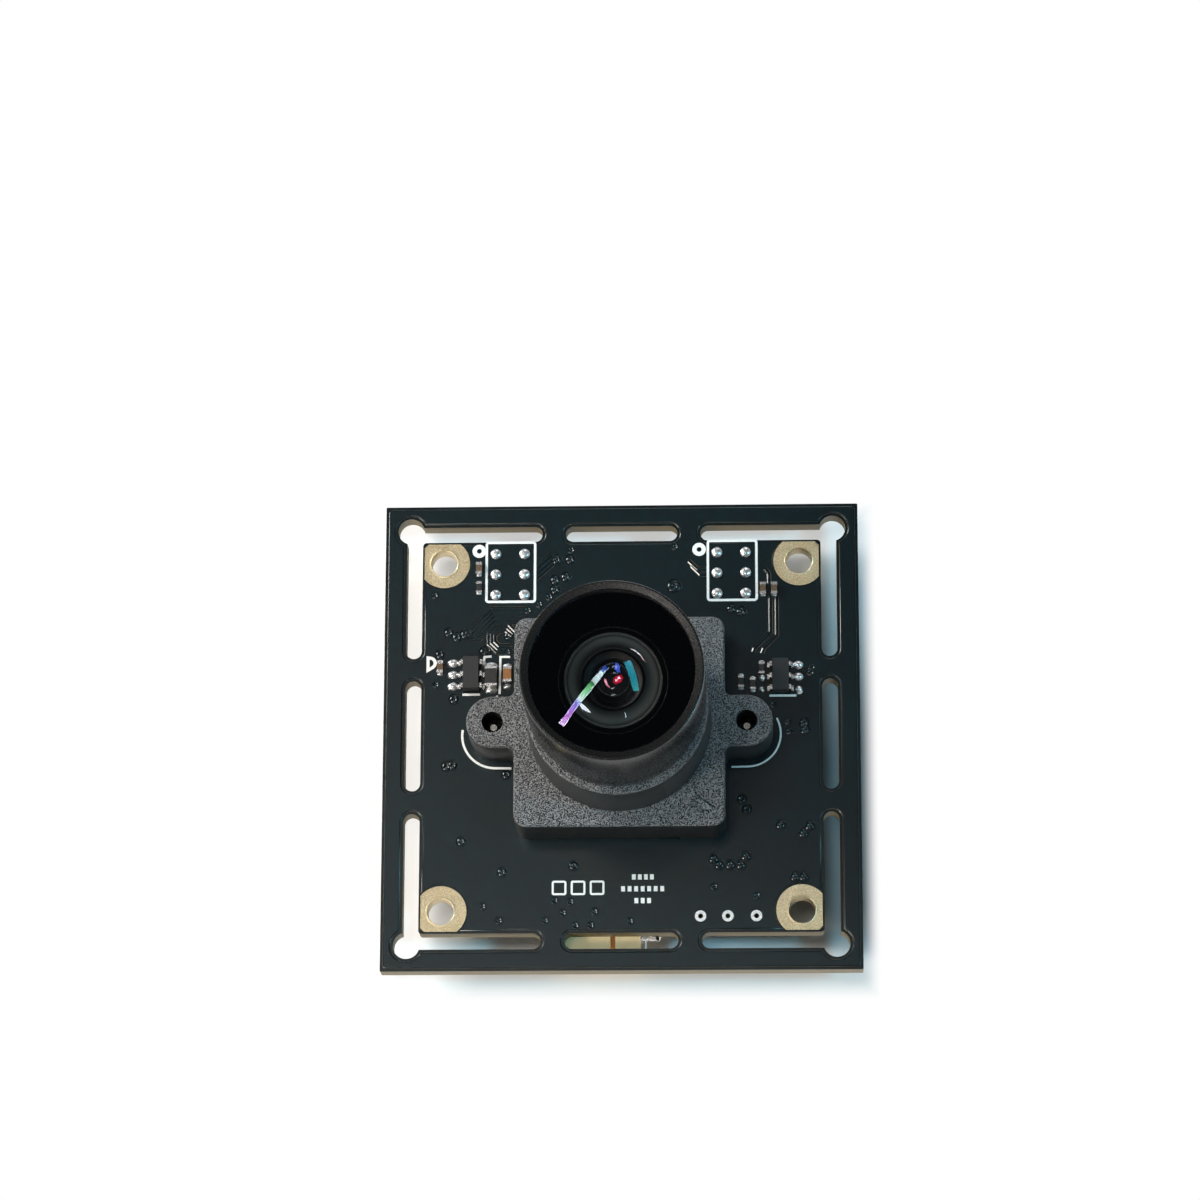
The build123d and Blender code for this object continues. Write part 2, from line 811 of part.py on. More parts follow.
# Fitting tabs: an L on each side of the socket, soldered to the board
with BuildPart() as socket_fitting_tabs:
    for side in (-1, 1):
        wall_x = socket_x + side * socket_w / 2
        with BuildSketch(Plane.XZ.offset(-(back_y - tab_inset - tab_l / 2))):
            with BuildLine():
                Polyline(
                    (wall_x, 0),
                    (wall_x + side * tab_foot, 0),
                    (wall_x + side * tab_foot, -tab_t),
                    (wall_x + side * tab_t, -tab_t),
                    (wall_x + side * tab_t, -tab_h),
                    (wall_x, -tab_h),
                    close=True,
                )
            make_face()
        extrude(amount=tab_l / 2, both=True)
finish(socket_fitting_tabs.part, "socket_fitting_tabs")
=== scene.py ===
# Camera module: finishes, print, copper, solder, glass and the studio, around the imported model.
# Lengths are millimetres unless a note says otherwise, and become metres where a mesh is made.

import math
import random
import bpy
from mathutils import Euler, Matrix, Vector


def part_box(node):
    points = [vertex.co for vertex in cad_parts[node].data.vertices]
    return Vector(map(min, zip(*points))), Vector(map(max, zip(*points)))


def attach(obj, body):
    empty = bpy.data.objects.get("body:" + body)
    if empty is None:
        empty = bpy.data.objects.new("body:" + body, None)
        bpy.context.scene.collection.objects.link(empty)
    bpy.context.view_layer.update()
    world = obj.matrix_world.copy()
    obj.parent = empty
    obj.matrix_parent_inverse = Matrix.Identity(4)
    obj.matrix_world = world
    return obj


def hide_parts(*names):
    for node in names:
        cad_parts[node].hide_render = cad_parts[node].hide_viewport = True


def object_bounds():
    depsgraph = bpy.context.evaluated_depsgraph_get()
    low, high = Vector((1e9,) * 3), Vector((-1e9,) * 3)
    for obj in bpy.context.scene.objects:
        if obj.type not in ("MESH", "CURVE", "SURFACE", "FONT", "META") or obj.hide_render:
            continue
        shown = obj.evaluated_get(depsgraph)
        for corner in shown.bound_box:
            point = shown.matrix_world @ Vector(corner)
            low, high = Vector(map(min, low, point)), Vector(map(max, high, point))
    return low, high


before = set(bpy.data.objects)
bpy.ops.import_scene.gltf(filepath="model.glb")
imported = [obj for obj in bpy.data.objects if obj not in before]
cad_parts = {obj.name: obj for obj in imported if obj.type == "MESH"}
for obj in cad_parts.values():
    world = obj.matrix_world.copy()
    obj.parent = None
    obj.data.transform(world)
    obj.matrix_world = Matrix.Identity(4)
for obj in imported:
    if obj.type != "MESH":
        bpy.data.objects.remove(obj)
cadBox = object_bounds()
mm = 0.001
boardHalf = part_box("circuit_board")[1][0] / mm
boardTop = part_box("circuit_board")[1][2] / mm
print("frame loaded, board top at", round(boardTop, 3))


# Shader maths on sockets, written as Python expressions
class Value:
    def __init__(self, finish, socket):
        self.finish = finish
        self.socket = socket

    def math(self, operation, other=None):
        inputs = {0: self} if other is None else {0: self, 1: other}
        return self.finish.add("ShaderNodeMath", {"operation": operation}, inputs)

    def __add__(self, other):
        return self.math("ADD", other)

    def __sub__(self, other):
        return self.math("SUBTRACT", other)

    def __rsub__(self, other):
        return self.finish.add("ShaderNodeMath", {"operation": "SUBTRACT"}, {0: other, 1: self})

    def __mul__(self, other):
        return self.math("MULTIPLY", other)

    def __abs__(self):
        return self.math("ABSOLUTE")

    __radd__ = __add__
    __rmul__ = __mul__

    def least(self, other):
        return self.math("MINIMUM", other)

    def most(self, other):
        return self.math("MAXIMUM", other)

    def ramp(self, low, high):  # smooth step from 0 at low to 1 at high
        inputs = {"Value": self, "From Min": low, "From Max": high}
        return self.finish.add("ShaderNodeMapRange", {"interpolation_type": "SMOOTHSTEP"}, inputs)


# A material or a world, and the one method that adds a node to it
class Finish:
    def __init__(self, name, shader="ShaderNodeBsdfPrincipled", world=False):
        self.material = (bpy.data.worlds if world else bpy.data.materials).new(name)
        self.material.use_nodes = True
        self.tree = self.material.node_tree
        self.tree.nodes.clear()
        self.output = self.tree.nodes.new("ShaderNodeOutputWorld" if world else "ShaderNodeOutputMaterial")
        self.shader = self.tree.nodes.new(shader)
        self.surface = Value(self, self.shader.outputs[0])
        self.show(self.surface)

    def show(self, surface):
        self.tree.links.new(surface.socket, self.output.inputs["Surface"])

    def blend(self, factor, first, second):  # one shader over another
        self.show(self.add("ShaderNodeMixShader", {}, {0: factor, 1: first, 2: second}))

    def add(self, kind, settings=None, inputs=None, out=0):
        node = self.tree.nodes.new(kind)
        for key, value in (settings or {}).items():
            if key == "stops":
                self.setStops(node.color_ramp, value)
            else:
                setattr(node, key, value)
        for key, value in (inputs or {}).items():
            self.put(node.inputs[key], value)
        return Value(self, node.outputs[out])

    def setStops(self, colorRamp, stops):
        while len(colorRamp.elements) < len(stops):
            colorRamp.elements.new(1.0)
        for element, (place, colour) in zip(colorRamp.elements, stops):
            element.position = place
            element.color = (*colour, 1.0)

    def put(self, socket, value):
        if isinstance(value, Value):
            self.tree.links.new(value.socket, socket)
        elif socket.type == "RGBA" and len(value) == 3:
            socket.default_value = (*value, 1.0)
        else:
            socket.default_value = value

    def set(self, **sockets):  # names with _ for spaces, as in Base_Color
        for key, value in sockets.items():
            self.put(self.shader.inputs[key.replace("_", " ")], value)

    def ray(self, kind):  # 1 on rays of that kind
        return self.add("ShaderNodeLightPath", out=f"Is {kind} Ray")

    def looked(self):  # 1 on rays that show the white background
        return self.ray("Camera").most(self.ray("Glossy")).most(self.ray("Transmission"))

    def place(self):  # the point on the piece, in millimetres
        point = self.add("ShaderNodeTexCoord", out="Object")
        return self.add("ShaderNodeVectorMath", {"operation": "SCALE"}, {0: point, "Scale": 1 / mm})

    def facing(self):  # how far the surface faces up, from -1 to 1
        return self.parts(self.add("ShaderNodeTexCoord", out="Normal"))[2]

    def parts(self, vector):
        node = self.add("ShaderNodeSeparateXYZ", {}, {0: vector}).socket.node
        return [Value(self, output) for output in node.outputs]

    def outward(self, point):  # distance from the lens axis
        x, y, _ = self.parts(point)
        return (x * x + y * y).math("SQRT")

    def noise(self, vector, scale, detail=2.0, rough=0.5):
        inputs = {"Vector": vector, "Scale": scale, "Detail": detail, "Roughness": rough}
        return self.add("ShaderNodeTexNoise", {}, inputs)

    def cells(self, vector, scale):
        return self.add("ShaderNodeTexVoronoi", {}, {"Vector": vector, "Scale": scale})

    def stretch(self, vector, x, y, z):
        return self.add("ShaderNodeVectorMath", {"operation": "MULTIPLY"}, {0: vector, 1: (x, y, z)})

    def mix(self, factor, first, second):
        settings = {"data_type": "RGBA"}
        return self.add("ShaderNodeMix", settings, {0: factor, 6: first, 7: second}, out=2)

    def bump(self, height, depth):  # depth in millimetres
        return self.add("ShaderNodeBump", {}, {"Height": height, "Distance": depth * mm, "Strength": 1.0})


def srgb(red, green, blue):  # a screen colour of 0 to 255, as the shader's linear light
    def linear(level):
        level /= 255
        return level / 12.92 if level <= 0.04045 else ((level + 0.055) / 1.055) ** 2.4

    return (linear(red), linear(green), linear(blue))


# Finishes of the board

maskLook = {
    "copper": srgb(7, 21, 25),  # over copper
    "bare": srgb(5, 13, 15),  # over bare laminate
    "teal": srgb(4, 30, 35),
    "dust": srgb(60, 70, 74),
    "roughness": 0.2,
    "rimRoughness": 0.18,
    "peel": 0.0026,
}
laminateLook = {
    "glass": srgb(150, 134, 98),
    "resin": srgb(66, 58, 40),
    "plies": 5.2,  # per millimetre
    "roughness": 0.62,
}


def maskFinish(name, tone, roughness=maskLook["roughness"]):
    finish = Finish(name)
    point = finish.place()
    height = finish.parts(point)[2]
    flat = abs(finish.facing()).ramp(0.3, 0.6)
    grain = finish.noise(point, 1.3, 3.0)
    fine = finish.noise(point, 14.0)
    dust = finish.noise(point, 55.0, 1.0)
    mask = finish.mix(grain.ramp(0.35, 0.7) * 0.5, tone, maskLook["teal"])
    mask = finish.mix(dust.ramp(0.72, 0.8) * 0.25, mask, maskLook["dust"])
    plies = (height * laminateLook["plies"] + grain * 0.4).math("FRACT").ramp(0.3, 0.6)
    weave = finish.noise(finish.stretch(point, 6.0, 6.0, 30.0), 1.0, 3.0)
    side = finish.mix(plies * 0.6 + weave * 0.4, laminateLook["resin"], laminateLook["glass"])
    sideRoughness = laminateLook["roughness"]
    finish.set(
        Base_Color=finish.mix(flat, side, mask),
        Roughness=sideRoughness - flat * (sideRoughness - roughness) + fine * 0.08 - 0.04,
        Normal=finish.bump(grain * 0.5 + fine * 0.35 + weave * (1 - flat) * 12.0, maskLook["peel"]),
    )
    return finish.material


goldLook = {
    "deep": srgb(206, 180, 128),
    "pale": srgb(255, 240, 208),
    "speckle": 9.0,  # per millimetre
    "roughness": 0.22,
    "depth": 0.03,
}


def goldFinish(name):
    finish = Finish(name)
    point = finish.place()
    speckle = finish.noise(point, goldLook["speckle"], 3.0, 0.65)
    cloud = finish.noise(point, 1.1)
    tone = speckle.ramp(0.35, 0.68) * 0.7 + cloud * 0.3
    finish.set(
        Base_Color=finish.mix(tone, goldLook["deep"], goldLook["pale"]),
        Metallic=1.0,
        Roughness=goldLook["roughness"] + speckle * 0.2,
        Normal=finish.bump(speckle, goldLook["depth"]),
    )
    return finish.material


tinLook = {
    "shade": (34, 34, 30),  # darker than the tone by this, where frosted
    "frost": 6.0,  # per millimetre
    "fine": 30.0,
    "depth": 0.012,
}


def tinFinish(name, gloss, tone):
    finish = Finish(name)
    point = finish.place()
    frost = finish.noise(point, tinLook["frost"], 3.0)
    fine = finish.noise(point, tinLook["fine"])
    dark = [level - less for level, less in zip(tone, tinLook["shade"])]
    finish.set(
        Base_Color=finish.mix(frost.ramp(0.3, 0.7), srgb(*tone), srgb(*dark)),
        Metallic=1.0,
        Roughness=gloss + frost * 0.15,
        Normal=finish.bump(frost * 0.7 + fine * 0.3, tinLook["depth"]),
    )
    return finish.material


# Grained finishes: the grain per millimetre and its detail, the smooth step that makes it a tone, that tone's
# share, a cloud and its share, a finer grain for the touch, how far it changes the roughness, its depth
inkGrain = {"grain": (9.0, 3.0), "step": (0.3, 0.75), "fine": 40.0, "spread": 0.15, "depth": 0.006}
ceramicGrain = {"grain": (11.0, 3.0), "step": (0.3, 0.75), "fine": 45.0, "spread": 0.15, "depth": 0.004}
blackGrain = {"grain": (25.0, 2.0), "step": (0.3, 0.7), "share": 0.5, "spread": 0.1, "depth": 0.003}
resinGrain = {
    "grain": (16.0, 3.0), "step": (0.4, 0.8), "share": 0.6, "cloud": (1.6, 0.2),
    "spread": 0.15, "depth": 0.012,
}
nylonGrain = {"grain": (12.0, 2.0), "share": 0.5, "cloud": (0.8, 0.5), "spread": 0.1, "depth": 0.004}
steelGrain = {"grain": (18.0, 3.0), "spread": 0.12, "depth": 0.005}


def grainFinish(name, first, second, roughness, look, **others):
    finish = Finish(name)
    point = finish.place()
    grain = finish.noise(point, *look["grain"])
    tone = (grain.ramp(*look["step"]) if "step" in look else grain) * look.get("share", 1.0)
    if "cloud" in look:
        scale, share = look["cloud"]
        tone = tone + finish.noise(point, scale) * share
    touch = finish.noise(point, look["fine"]) if "fine" in look else grain
    finish.set(
        Base_Color=finish.mix(tone, srgb(*first), srgb(*second)),
        Roughness=roughness + touch * look["spread"],
        Normal=finish.bump(touch, look["depth"]),
        **others,
    )
    return finish.material


# Finishes of the holder and the lens

holderLook = {
    "body": srgb(10, 11, 12),  # top faces, moulded with a grain
    # pale flecks painted on the grained top faces: painted glints, over the texture's real bumps
    "paintedGlint": srgb(140, 142, 144),
    "smooth": srgb(26, 27, 28),  # walls
    "cloud": srgb(45, 46, 47),
    "spark": 7.8,  # grains per millimetre
    "roughness": 0.26,
    "gloss": 0.44,
    "depth": 0.26,
}


def holderFinish(name):
    finish = Finish(name)
    point = finish.place()
    top = finish.facing().ramp(0.55, 0.8)
    spark = finish.noise(point, holderLook["spark"], 3.0, 0.62)
    pits = finish.cells(point, holderLook["spark"] * 1.3).ramp(0.1, 0.6)
    height = spark * 0.75 + pits * 0.35
    # painted glints: pale flecks on the top faces' grain
    paintedGlintTop = finish.mix(height.ramp(0.62, 0.7), holderLook["body"], holderLook["paintedGlint"])
    plain = finish.mix(finish.noise(point, 0.7), holderLook["smooth"], holderLook["cloud"])
    drag = finish.noise(finish.stretch(point, 3.0, 3.0, 14.0), 1.0)
    finish.set(
        Base_Color=finish.mix(top, plain, paintedGlintTop),
        Roughness=holderLook["roughness"] + spark * 0.08,
        Specular_IOR_Level=holderLook["gloss"],
        Normal=finish.bump(height * top + drag * 0.06 * (1 - top), holderLook["depth"]),
    )
    return finish.material


barrelLook = {
    "body": srgb(4, 4, 4),
    "worn": srgb(11, 10, 10),
    "rings": 16.0,  # turning lines per millimetre
    "roughness": 0.22,
    "depth": 0.004,
}


def barrelFinish(name):
    finish = Finish(name)
    point = finish.place()
    height = finish.parts(point)[2]
    grain = finish.noise(point, 11.0, 3.0, 0.6)
    cloud = finish.noise(point, 0.6)
    lines = (finish.outward(point) + height) * (barrelLook["rings"] * 2 * math.pi)
    turned = (lines + grain * 3.0).math("SINE")
    wear = cloud * 0.3 + grain.ramp(0.4, 0.7) * 0.5
    finish.set(
        Base_Color=finish.mix(wear, barrelLook["body"], barrelLook["worn"]),
        Roughness=barrelLook["roughness"] + grain * 0.1,
        Normal=finish.bump(turned * 0.08 + grain, barrelLook["depth"]),
    )
    return finish.material


spacerLook = {
    "black": srgb(9, 9, 9),
    # edge: the colour of the painted highlight rings
    "edge": srgb(74, 72, 64),
    "steps": 15.0,
    "roughness": 0.4,
    "gloss": 0.2,
    "depth": 0.003,
}


def paintedStepRingFinish(name):  # pale rings painted at turned-step spacing: painted highlights for the light the steps' edges catch
    finish = Finish(name)
    point = finish.place()
    grain = finish.noise(point, 20.0)
    # painted highlight: pale rings at step spacing
    edge = (finish.outward(point) * spacerLook["steps"] + grain * 0.5).math("SINE").ramp(0.7, 1.0)
    finish.set(
        Base_Color=finish.mix(edge, spacerLook["black"], spacerLook["edge"]),
        Roughness=spacerLook["roughness"] + grain * 0.1,
        Specular_IOR_Level=spacerLook["gloss"],
        Normal=finish.bump(grain, spacerLook["depth"]),
    )
    return finish.material


glassLook = {
    "index": 1.52,
    "smear": srgb(200, 210, 215),
    "bare": 0.003,  # gloss of the faces behind the front one, which keeps ghosts out of the lens
}


def glassFinish(name, tint=(1.0, 1.0, 1.0), gloss=glassLook["bare"], coat=(0.75, 0.85, 1.0)):
    finish = Finish(name)
    smear = finish.noise(finish.place(), 0.35)
    finish.set(
        Base_Color=finish.mix(smear.ramp(0.4, 0.9) * 0.04, tint, glassLook["smear"]),
        Roughness=0.0,
        IOR=glassLook["index"],
        Transmission_Weight=1.0,
        Specular_IOR_Level=gloss,
        Specular_Tint=coat,
    )
    clear = finish.add("ShaderNodeBsdfTransparent", {}, {"Color": tint})
    finish.blend(finish.ray("Shadow"), finish.surface, clear)  # lets the lamps in
    return finish.material


groundLook = {
    "pale": srgb(58, 60, 58),
    "dark": srgb(8, 8, 8),
    "inner": 2.3,  # it pales from this radius
    "peak": 3.02,
    "outer": 3.27,  # and fades again to this one
    "roughness": 0.55,
    "gloss": 0.1,
    "depth": 0.004,
}


def groundGlassFinish(name):
    finish = Finish(name)
    point = finish.place()
    out = finish.outward(point)
    grain = finish.noise(point, 30.0)
    rise = out.ramp(groundLook["inner"], groundLook["peak"])
    fall = 1 - out.ramp(groundLook["peak"], groundLook["outer"]) * 0.8
    finish.set(
        Base_Color=finish.mix(rise * fall * (0.8 + grain * 0.3), groundLook["dark"], groundLook["pale"]),
        Roughness=groundLook["roughness"],
        Specular_IOR_Level=groundLook["gloss"],
        Normal=finish.bump(grain, groundLook["depth"]),
    )
    return finish.material


dieLook = {
    "array": (srgb(34, 20, 40), srgb(18, 28, 44)),
    "rim": srgb(50, 48, 44),
    "half": (2.55, 1.75),  # of the light-sensitive field
    "cells": 40.0,
}


def siliconFinish(name):
    finish = Finish(name)
    x, y, _ = finish.parts(finish.place())
    halfX, halfY = dieLook["half"]
    grid = (x * dieLook["cells"]).math("SINE") * (y * dieLook["cells"]).math("SINE")
    rim = abs(x).ramp(halfX, halfX + 0.05) + abs(y).ramp(halfY, halfY + 0.05)
    finish.set(
        Base_Color=finish.mix(rim, finish.mix(grid.ramp(-1.0, 1.0), *dieLook["array"]), dieLook["rim"]),
        Metallic=0.7,
        Roughness=0.22 + grid * 0.04,
    )
    return finish.material


mask = maskFinish("board_mask", maskLook["bare"])
copperMask = maskFinish("copper_under_mask", maskLook["copper"])
rimMask = maskFinish("mask_over_rims", maskLook["copper"], maskLook["rimRoughness"])
gold = goldFinish("gold_plating")
tin = tinFinish("tinned_metal", 0.16, (248, 247, 244))
ringTin = tinFinish("tinned_rings", 0.42, (254, 254, 252))
solder = tinFinish("solder", 0.24, (252, 252, 250))
ink = grainFinish("white_print", (236, 238, 236), (214, 218, 217), 0.5, inkGrain)
# near-black discs in the vias: painted shade of their open holes
viaHoleShade = grainFinish("via_hole_shade", (8, 9, 10), (4, 4, 5), 0.22, blackGrain)
stopBlack = grainFinish("stop_black", (24, 24, 26), (12, 12, 13), 0.5, blackGrain)
edgeBlack = grainFinish("blackened_edge", (5, 5, 6), (2, 2, 3), 0.6, blackGrain)
resin = grainFinish("package_resin", (27, 28, 30), (43, 44, 46), 0.55, resinGrain)
tanCeramic = grainFinish("capacitor_tan", (120, 78, 38), (150, 102, 54), 0.38, ceramicGrain)
brownCeramic = grainFinish("small_capacitor_brown", (74, 56, 40), (112, 86, 58), 0.38, ceramicGrain)
paleCeramic = grainFinish("crystal_ceramic", (206, 200, 186), (222, 217, 205), 0.45, ceramicGrain)
blackCeramic = grainFinish("resistor_black", (28, 28, 29), (44, 44, 46), 0.3, ceramicGrain)
steel = grainFinish("screw_nickel", (205, 203, 198), (150, 148, 144), 0.16, steelGrain, Metallic=1.0)
nylon = grainFinish(
    "socket_nylon", (255, 228, 180), (224, 184, 130), 0.42, nylonGrain,
    Subsurface_Weight=0.12, Subsurface_Radius=(0.6 * mm, 0.45 * mm, 0.3 * mm),
)
holderPlastic = holderFinish("holder_plastic")
blackMetal = barrelFinish("barrel_black")
spacerBlack = paintedStepRingFinish("spacer_black")
frontGlass = glassFinish("front_glass", gloss=1.0)
hollowGlass = glassFinish("front_glass_hollow")
groundGlass = groundGlassFinish("ground_glass")
innerGlass = glassFinish("inner_glass", tint=(0.6, 0.62, 0.6), coat=(0.8, 0.9, 1.0))
rearGlass = glassFinish("rear_glass", coat=(0.9, 0.5, 0.8))
filterGlass = glassFinish("filter_glass", tint=(0.72, 0.9, 0.94), coat=(1.0, 0.45, 0.5))
silicon = siliconFinish("sensor_die")
print("finishes made:", len(bpy.data.materials))

# Every other node is a package of resin, where its name ends in _body, or tinned metal
finishNodes = (
    (mask, ["circuit_board"]),
    (gold, ["front_mounting_pads", "rear_mounting_pads", "socket_contacts"]),
    (ringTin, ["test_point_rings"]),
    (holderPlastic, ["lens_holder"]),
    (steel, ["holder_screws"]),
    (resin, ["image_sensor_package"]),
    (silicon, ["image_sensor_die"]),
    (filterGlass, ["sensor_cover_glass", "ir_cut_filter"]),
    (blackMetal, ["rear_retaining_ring"]),
    (innerGlass, ["third_element", "fourth_element", "fifth_element"]),
    (rearGlass, ["sixth_element"]),
    (spacerBlack, ["front_spacer_ring"]),
    (stopBlack, ["aperture_stop", "rear_spacer_ring"]),
    (tanCeramic, ["power_capacitor_bodies", "rear_capacitor_bodies"]),
    (brownCeramic, ["front_capacitor_bodies"]),
    (blackCeramic, ["power_inductor_bodies", "front_resistor_bodies", "rear_resistor_bodies"]),
    (paleCeramic, ["crystal_base"]),
    (nylon, ["socket_housing"]),
)
nodeFinish = {name: finish for finish, names in finishNodes for name in names}
for name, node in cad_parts.items():
    node.data.materials.clear()
    node.data.materials.append(nodeFinish.get(name, resin if name.endswith("_body") else tin))


# Mesh makers

def plainMesh(name, verts, faces):
    mesh = bpy.data.meshes.new(name)
    mesh.from_pydata([(x * mm, y * mm, z * mm) for x, y, z in verts], [], faces)
    return mesh


def addObject(name, data):
    item = bpy.data.objects.new(name, data)
    bpy.context.collection.objects.link(item)
    return item


def addPiece(name, verts, faces, material, body, smooth=False, sharp=35):
    mesh = plainMesh(name, verts, faces)
    mesh.validate()
    mesh.materials.append(material)
    if smooth:
        mesh.polygons.foreach_set("use_smooth", [True] * len(mesh.polygons))
        mesh.set_sharp_from_angle(angle=math.radians(sharp))
    mesh.update()
    piece = addObject(name, mesh)
    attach(piece, body)
    return piece


def arc(centre, radius, start, end, steps=12):  # degrees
    points = []
    for step in range(steps + 1):
        angle = math.radians(start + (end - start) * step / steps)
        points.append((centre[0] + radius * math.cos(angle), centre[1] + radius * math.sin(angle)))
    return points


def roundedBox(left, bottom, right, top, radius, steps=4):
    corners = ((right, top, 0), (left, top, 90), (left, bottom, 180), (right, bottom, 270))
    points = []
    for x, y, start in corners:
        inX = x - math.copysign(radius, x - (left + right) / 2)
        inY = y - math.copysign(radius, y - (bottom + top) / 2)
        points += arc((inX, inY), radius, start, start + 90, steps)
    return points


# Strips that follow paths: flat tops, sloped sides, as ink and etched copper have
class Strips:
    def __init__(self, level, side=1):
        self.verts = []
        self.faces = []
        self.level = level
        self.side = side  # 1 on the front face, -1 on the rear

    def across(self, path, i, closed):
        here = Vector(path[i])
        ways = []
        if closed or i > 0:
            ways.append((here - Vector(path[i - 1])).normalized())
        if closed or i < len(path) - 1:
            ways.append((Vector(path[(i + 1) % len(path)]) - here).normalized())
        normals = [Vector((-way.y, way.x)) for way in ways]
        middle = sum(normals, Vector((0, 0))).normalized()
        return middle / max(0.4, middle.dot(normals[0]))  # sharp bends stay short

    def add(self, path, width, height, lean=0.0, closed=False):
        path = [point for i, point in enumerate(path) if i == 0 or math.dist(point, path[i - 1]) > 1e-4]
        first, rows, half = len(self.verts), len(path), width / 2
        low, high = self.level, self.level + self.side * height
        for i, point in enumerate(path):
            across = self.across(path, i, closed)
            for reach, z in ((half + lean, low), (half, high), (-half, high), (-half - lean, low)):
                spot = Vector(point) + across * reach
                self.verts.append((spot.x, spot.y, z))
        for row in range(rows if closed else rows - 1):
            here, there = first + row * 4, first + (row + 1) % rows * 4
            for k in range(4):
                self.quad(here + k, here + (k + 1) % 4, there + (k + 1) % 4, there + k)
        if not closed:
            last = first + (rows - 1) * 4
            self.quad(first, first + 3, first + 2, first + 1)
            self.quad(last, last + 1, last + 2, last + 3)

    def quad(self, *corners):
        self.faces.append(corners if self.side > 0 else corners[::-1])

    def make(self, name, material):
        return addPiece(name, self.verts, self.faces, material, "board")


# Turned shapes: a profile of (radius, height) pairs, spun and set at each place
def spin(verts, faces, profile, centre, steps, level, side=1, squash=(1.0, 1.0), shake=0.0, seed=0):
    wobble = random.Random(seed)
    first = len(verts)
    rings = [pair for pair in profile if pair[0] > 0]
    for radius, height in rings:
        for step in range(steps):
            angle = 2 * math.pi * step / steps
            reach = radius * (1 + shake * (wobble.random() - 0.5))
            x = centre[0] + reach * math.cos(angle) * squash[0]
            y = centre[1] + reach * math.sin(angle) * squash[1]
            verts.append((x, y, level + side * height))

    def face(corners, way=side):
        faces.append(corners if way > 0 else corners[::-1])

    for ring in range(len(rings) - 1):
        for step in range(steps):
            here = first + ring * steps
            after = (step + 1) % steps
            face((here + step, here + after, here + steps + after, here + steps + step))
    for (radius, height), ring, way in ((profile[0], 0, -side), (profile[-1], len(rings) - 1, side)):
        if radius == 0:  # closed by a fan from the axis
            verts.append((centre[0], centre[1], level + side * height))
            tip, base = len(verts) - 1, first + ring * steps
            for step in range(steps):
                face((tip, base + step, base + (step + 1) % steps), way)


def dome(width, height, rings):  # a rounded mound, as molten solder leaves
    profile = [(0, 0.0)]
    for ring in range(rings):
        angle = math.pi / 2 * ring / rings
        profile.append((width / 2 * math.cos(angle) ** 0.8, height * math.sin(angle)))
    return [*profile, (0, height)]


def ringProfile(inner, outer, height, lean=0.008):
    wall = height - lean
    top = [(inner + lean, height), (outer - lean, height)]
    return [(inner, 0), (inner, wall), *top, (outer, wall), (outer, 0), (inner, 0)]


# Copper under the mask: one raised sheet a face, cut back from edges and slots

copperLook = {
    "height": 0.055,
    "slope": 0.12,
    "setBack": 0.22,
    "corner": 0.3,
    "slotLine": 16.635,
    "slotHalf": 0.635,
    "armStart": 6.35,
    "middleHalf": 4.5,
    "cornerHole": (16.95, 1.05),
    "padPlaces": tuple((signX * 14.25, signY * 14.25) for signX in (-1, 1) for signY in (-1, 1)),
    "padClear": 2.2,
    "testPlaces": ((6.25, -14.7), (8.4, -14.7), (10.65, -14.7)),
    "testClear": 0.55,
    "viaClear": 0.46,
    "bigViaClear": 0.62,
    "viaHole": 0.2,
    "laneClear": 0.36,
}


def cornerSlot(signX, signY):
    look = copperLook
    half = look["slotHalf"] + look["setBack"]
    line = look["slotLine"]
    end = look["armStart"] + look["slotHalf"]
    holeAt, holeRadius = look["cornerHole"]
    radius = holeRadius + look["setBack"]
    reach = math.sqrt(radius**2 - (line + half - holeAt) ** 2)
    turn = math.degrees(math.atan2(line + half - holeAt, reach))
    points = [(line - half, line - half)]
    points += arc((line, end), half, 180, 360, 16)
    points += arc((holeAt, holeAt), radius, turn - 90, 180 - turn, 28)
    points += arc((end, line), half, 90, 270, 16)
    return [(signX * x, signY * y) for x, y in points]


def middleSlot(turn):
    line, half = copperLook["slotLine"], copperLook["slotHalf"] + copperLook["setBack"]
    end = copperLook["middleHalf"] - copperLook["slotHalf"]
    points = arc((line, end), half, 0, 180, 16) + arc((line, -end), half, 180, 360, 16)
    cos, sin = math.cos(turn), math.sin(turn)
    return [(x * cos - y * sin, x * sin + y * cos) for x, y in points]


def clearances(level, side, places, lanes):  # cones and channels, wider at the top, that the sheet loses
    deep, slope = 2 * copperLook["height"], copperLook["slope"]
    verts, faces = [], []
    for place, radius in places:
        taper = min(slope, radius * 0.3)
        cone = [(0, -deep), (radius - taper * 1.5, -deep), (radius + taper / 2, deep), (0, deep)]
        spin(verts, faces, cone, place, 24, level, side)
    channel = Strips(level - side * deep, side)
    for lane in lanes:
        channel.add(lane, copperLook["laneClear"] + slope, 2 * deep, -slope)
    first = len(verts)
    verts += channel.verts
    faces += [tuple(first + corner for corner in face) for face in channel.faces]
    return plainMesh("clearances", verts, faces)


def settledMesh(item):  # its mesh with curves filled and modifiers applied
    bpy.context.view_layer.update()
    return bpy.data.meshes.new_from_object(item.evaluated_get(bpy.context.evaluated_depsgraph_get()))


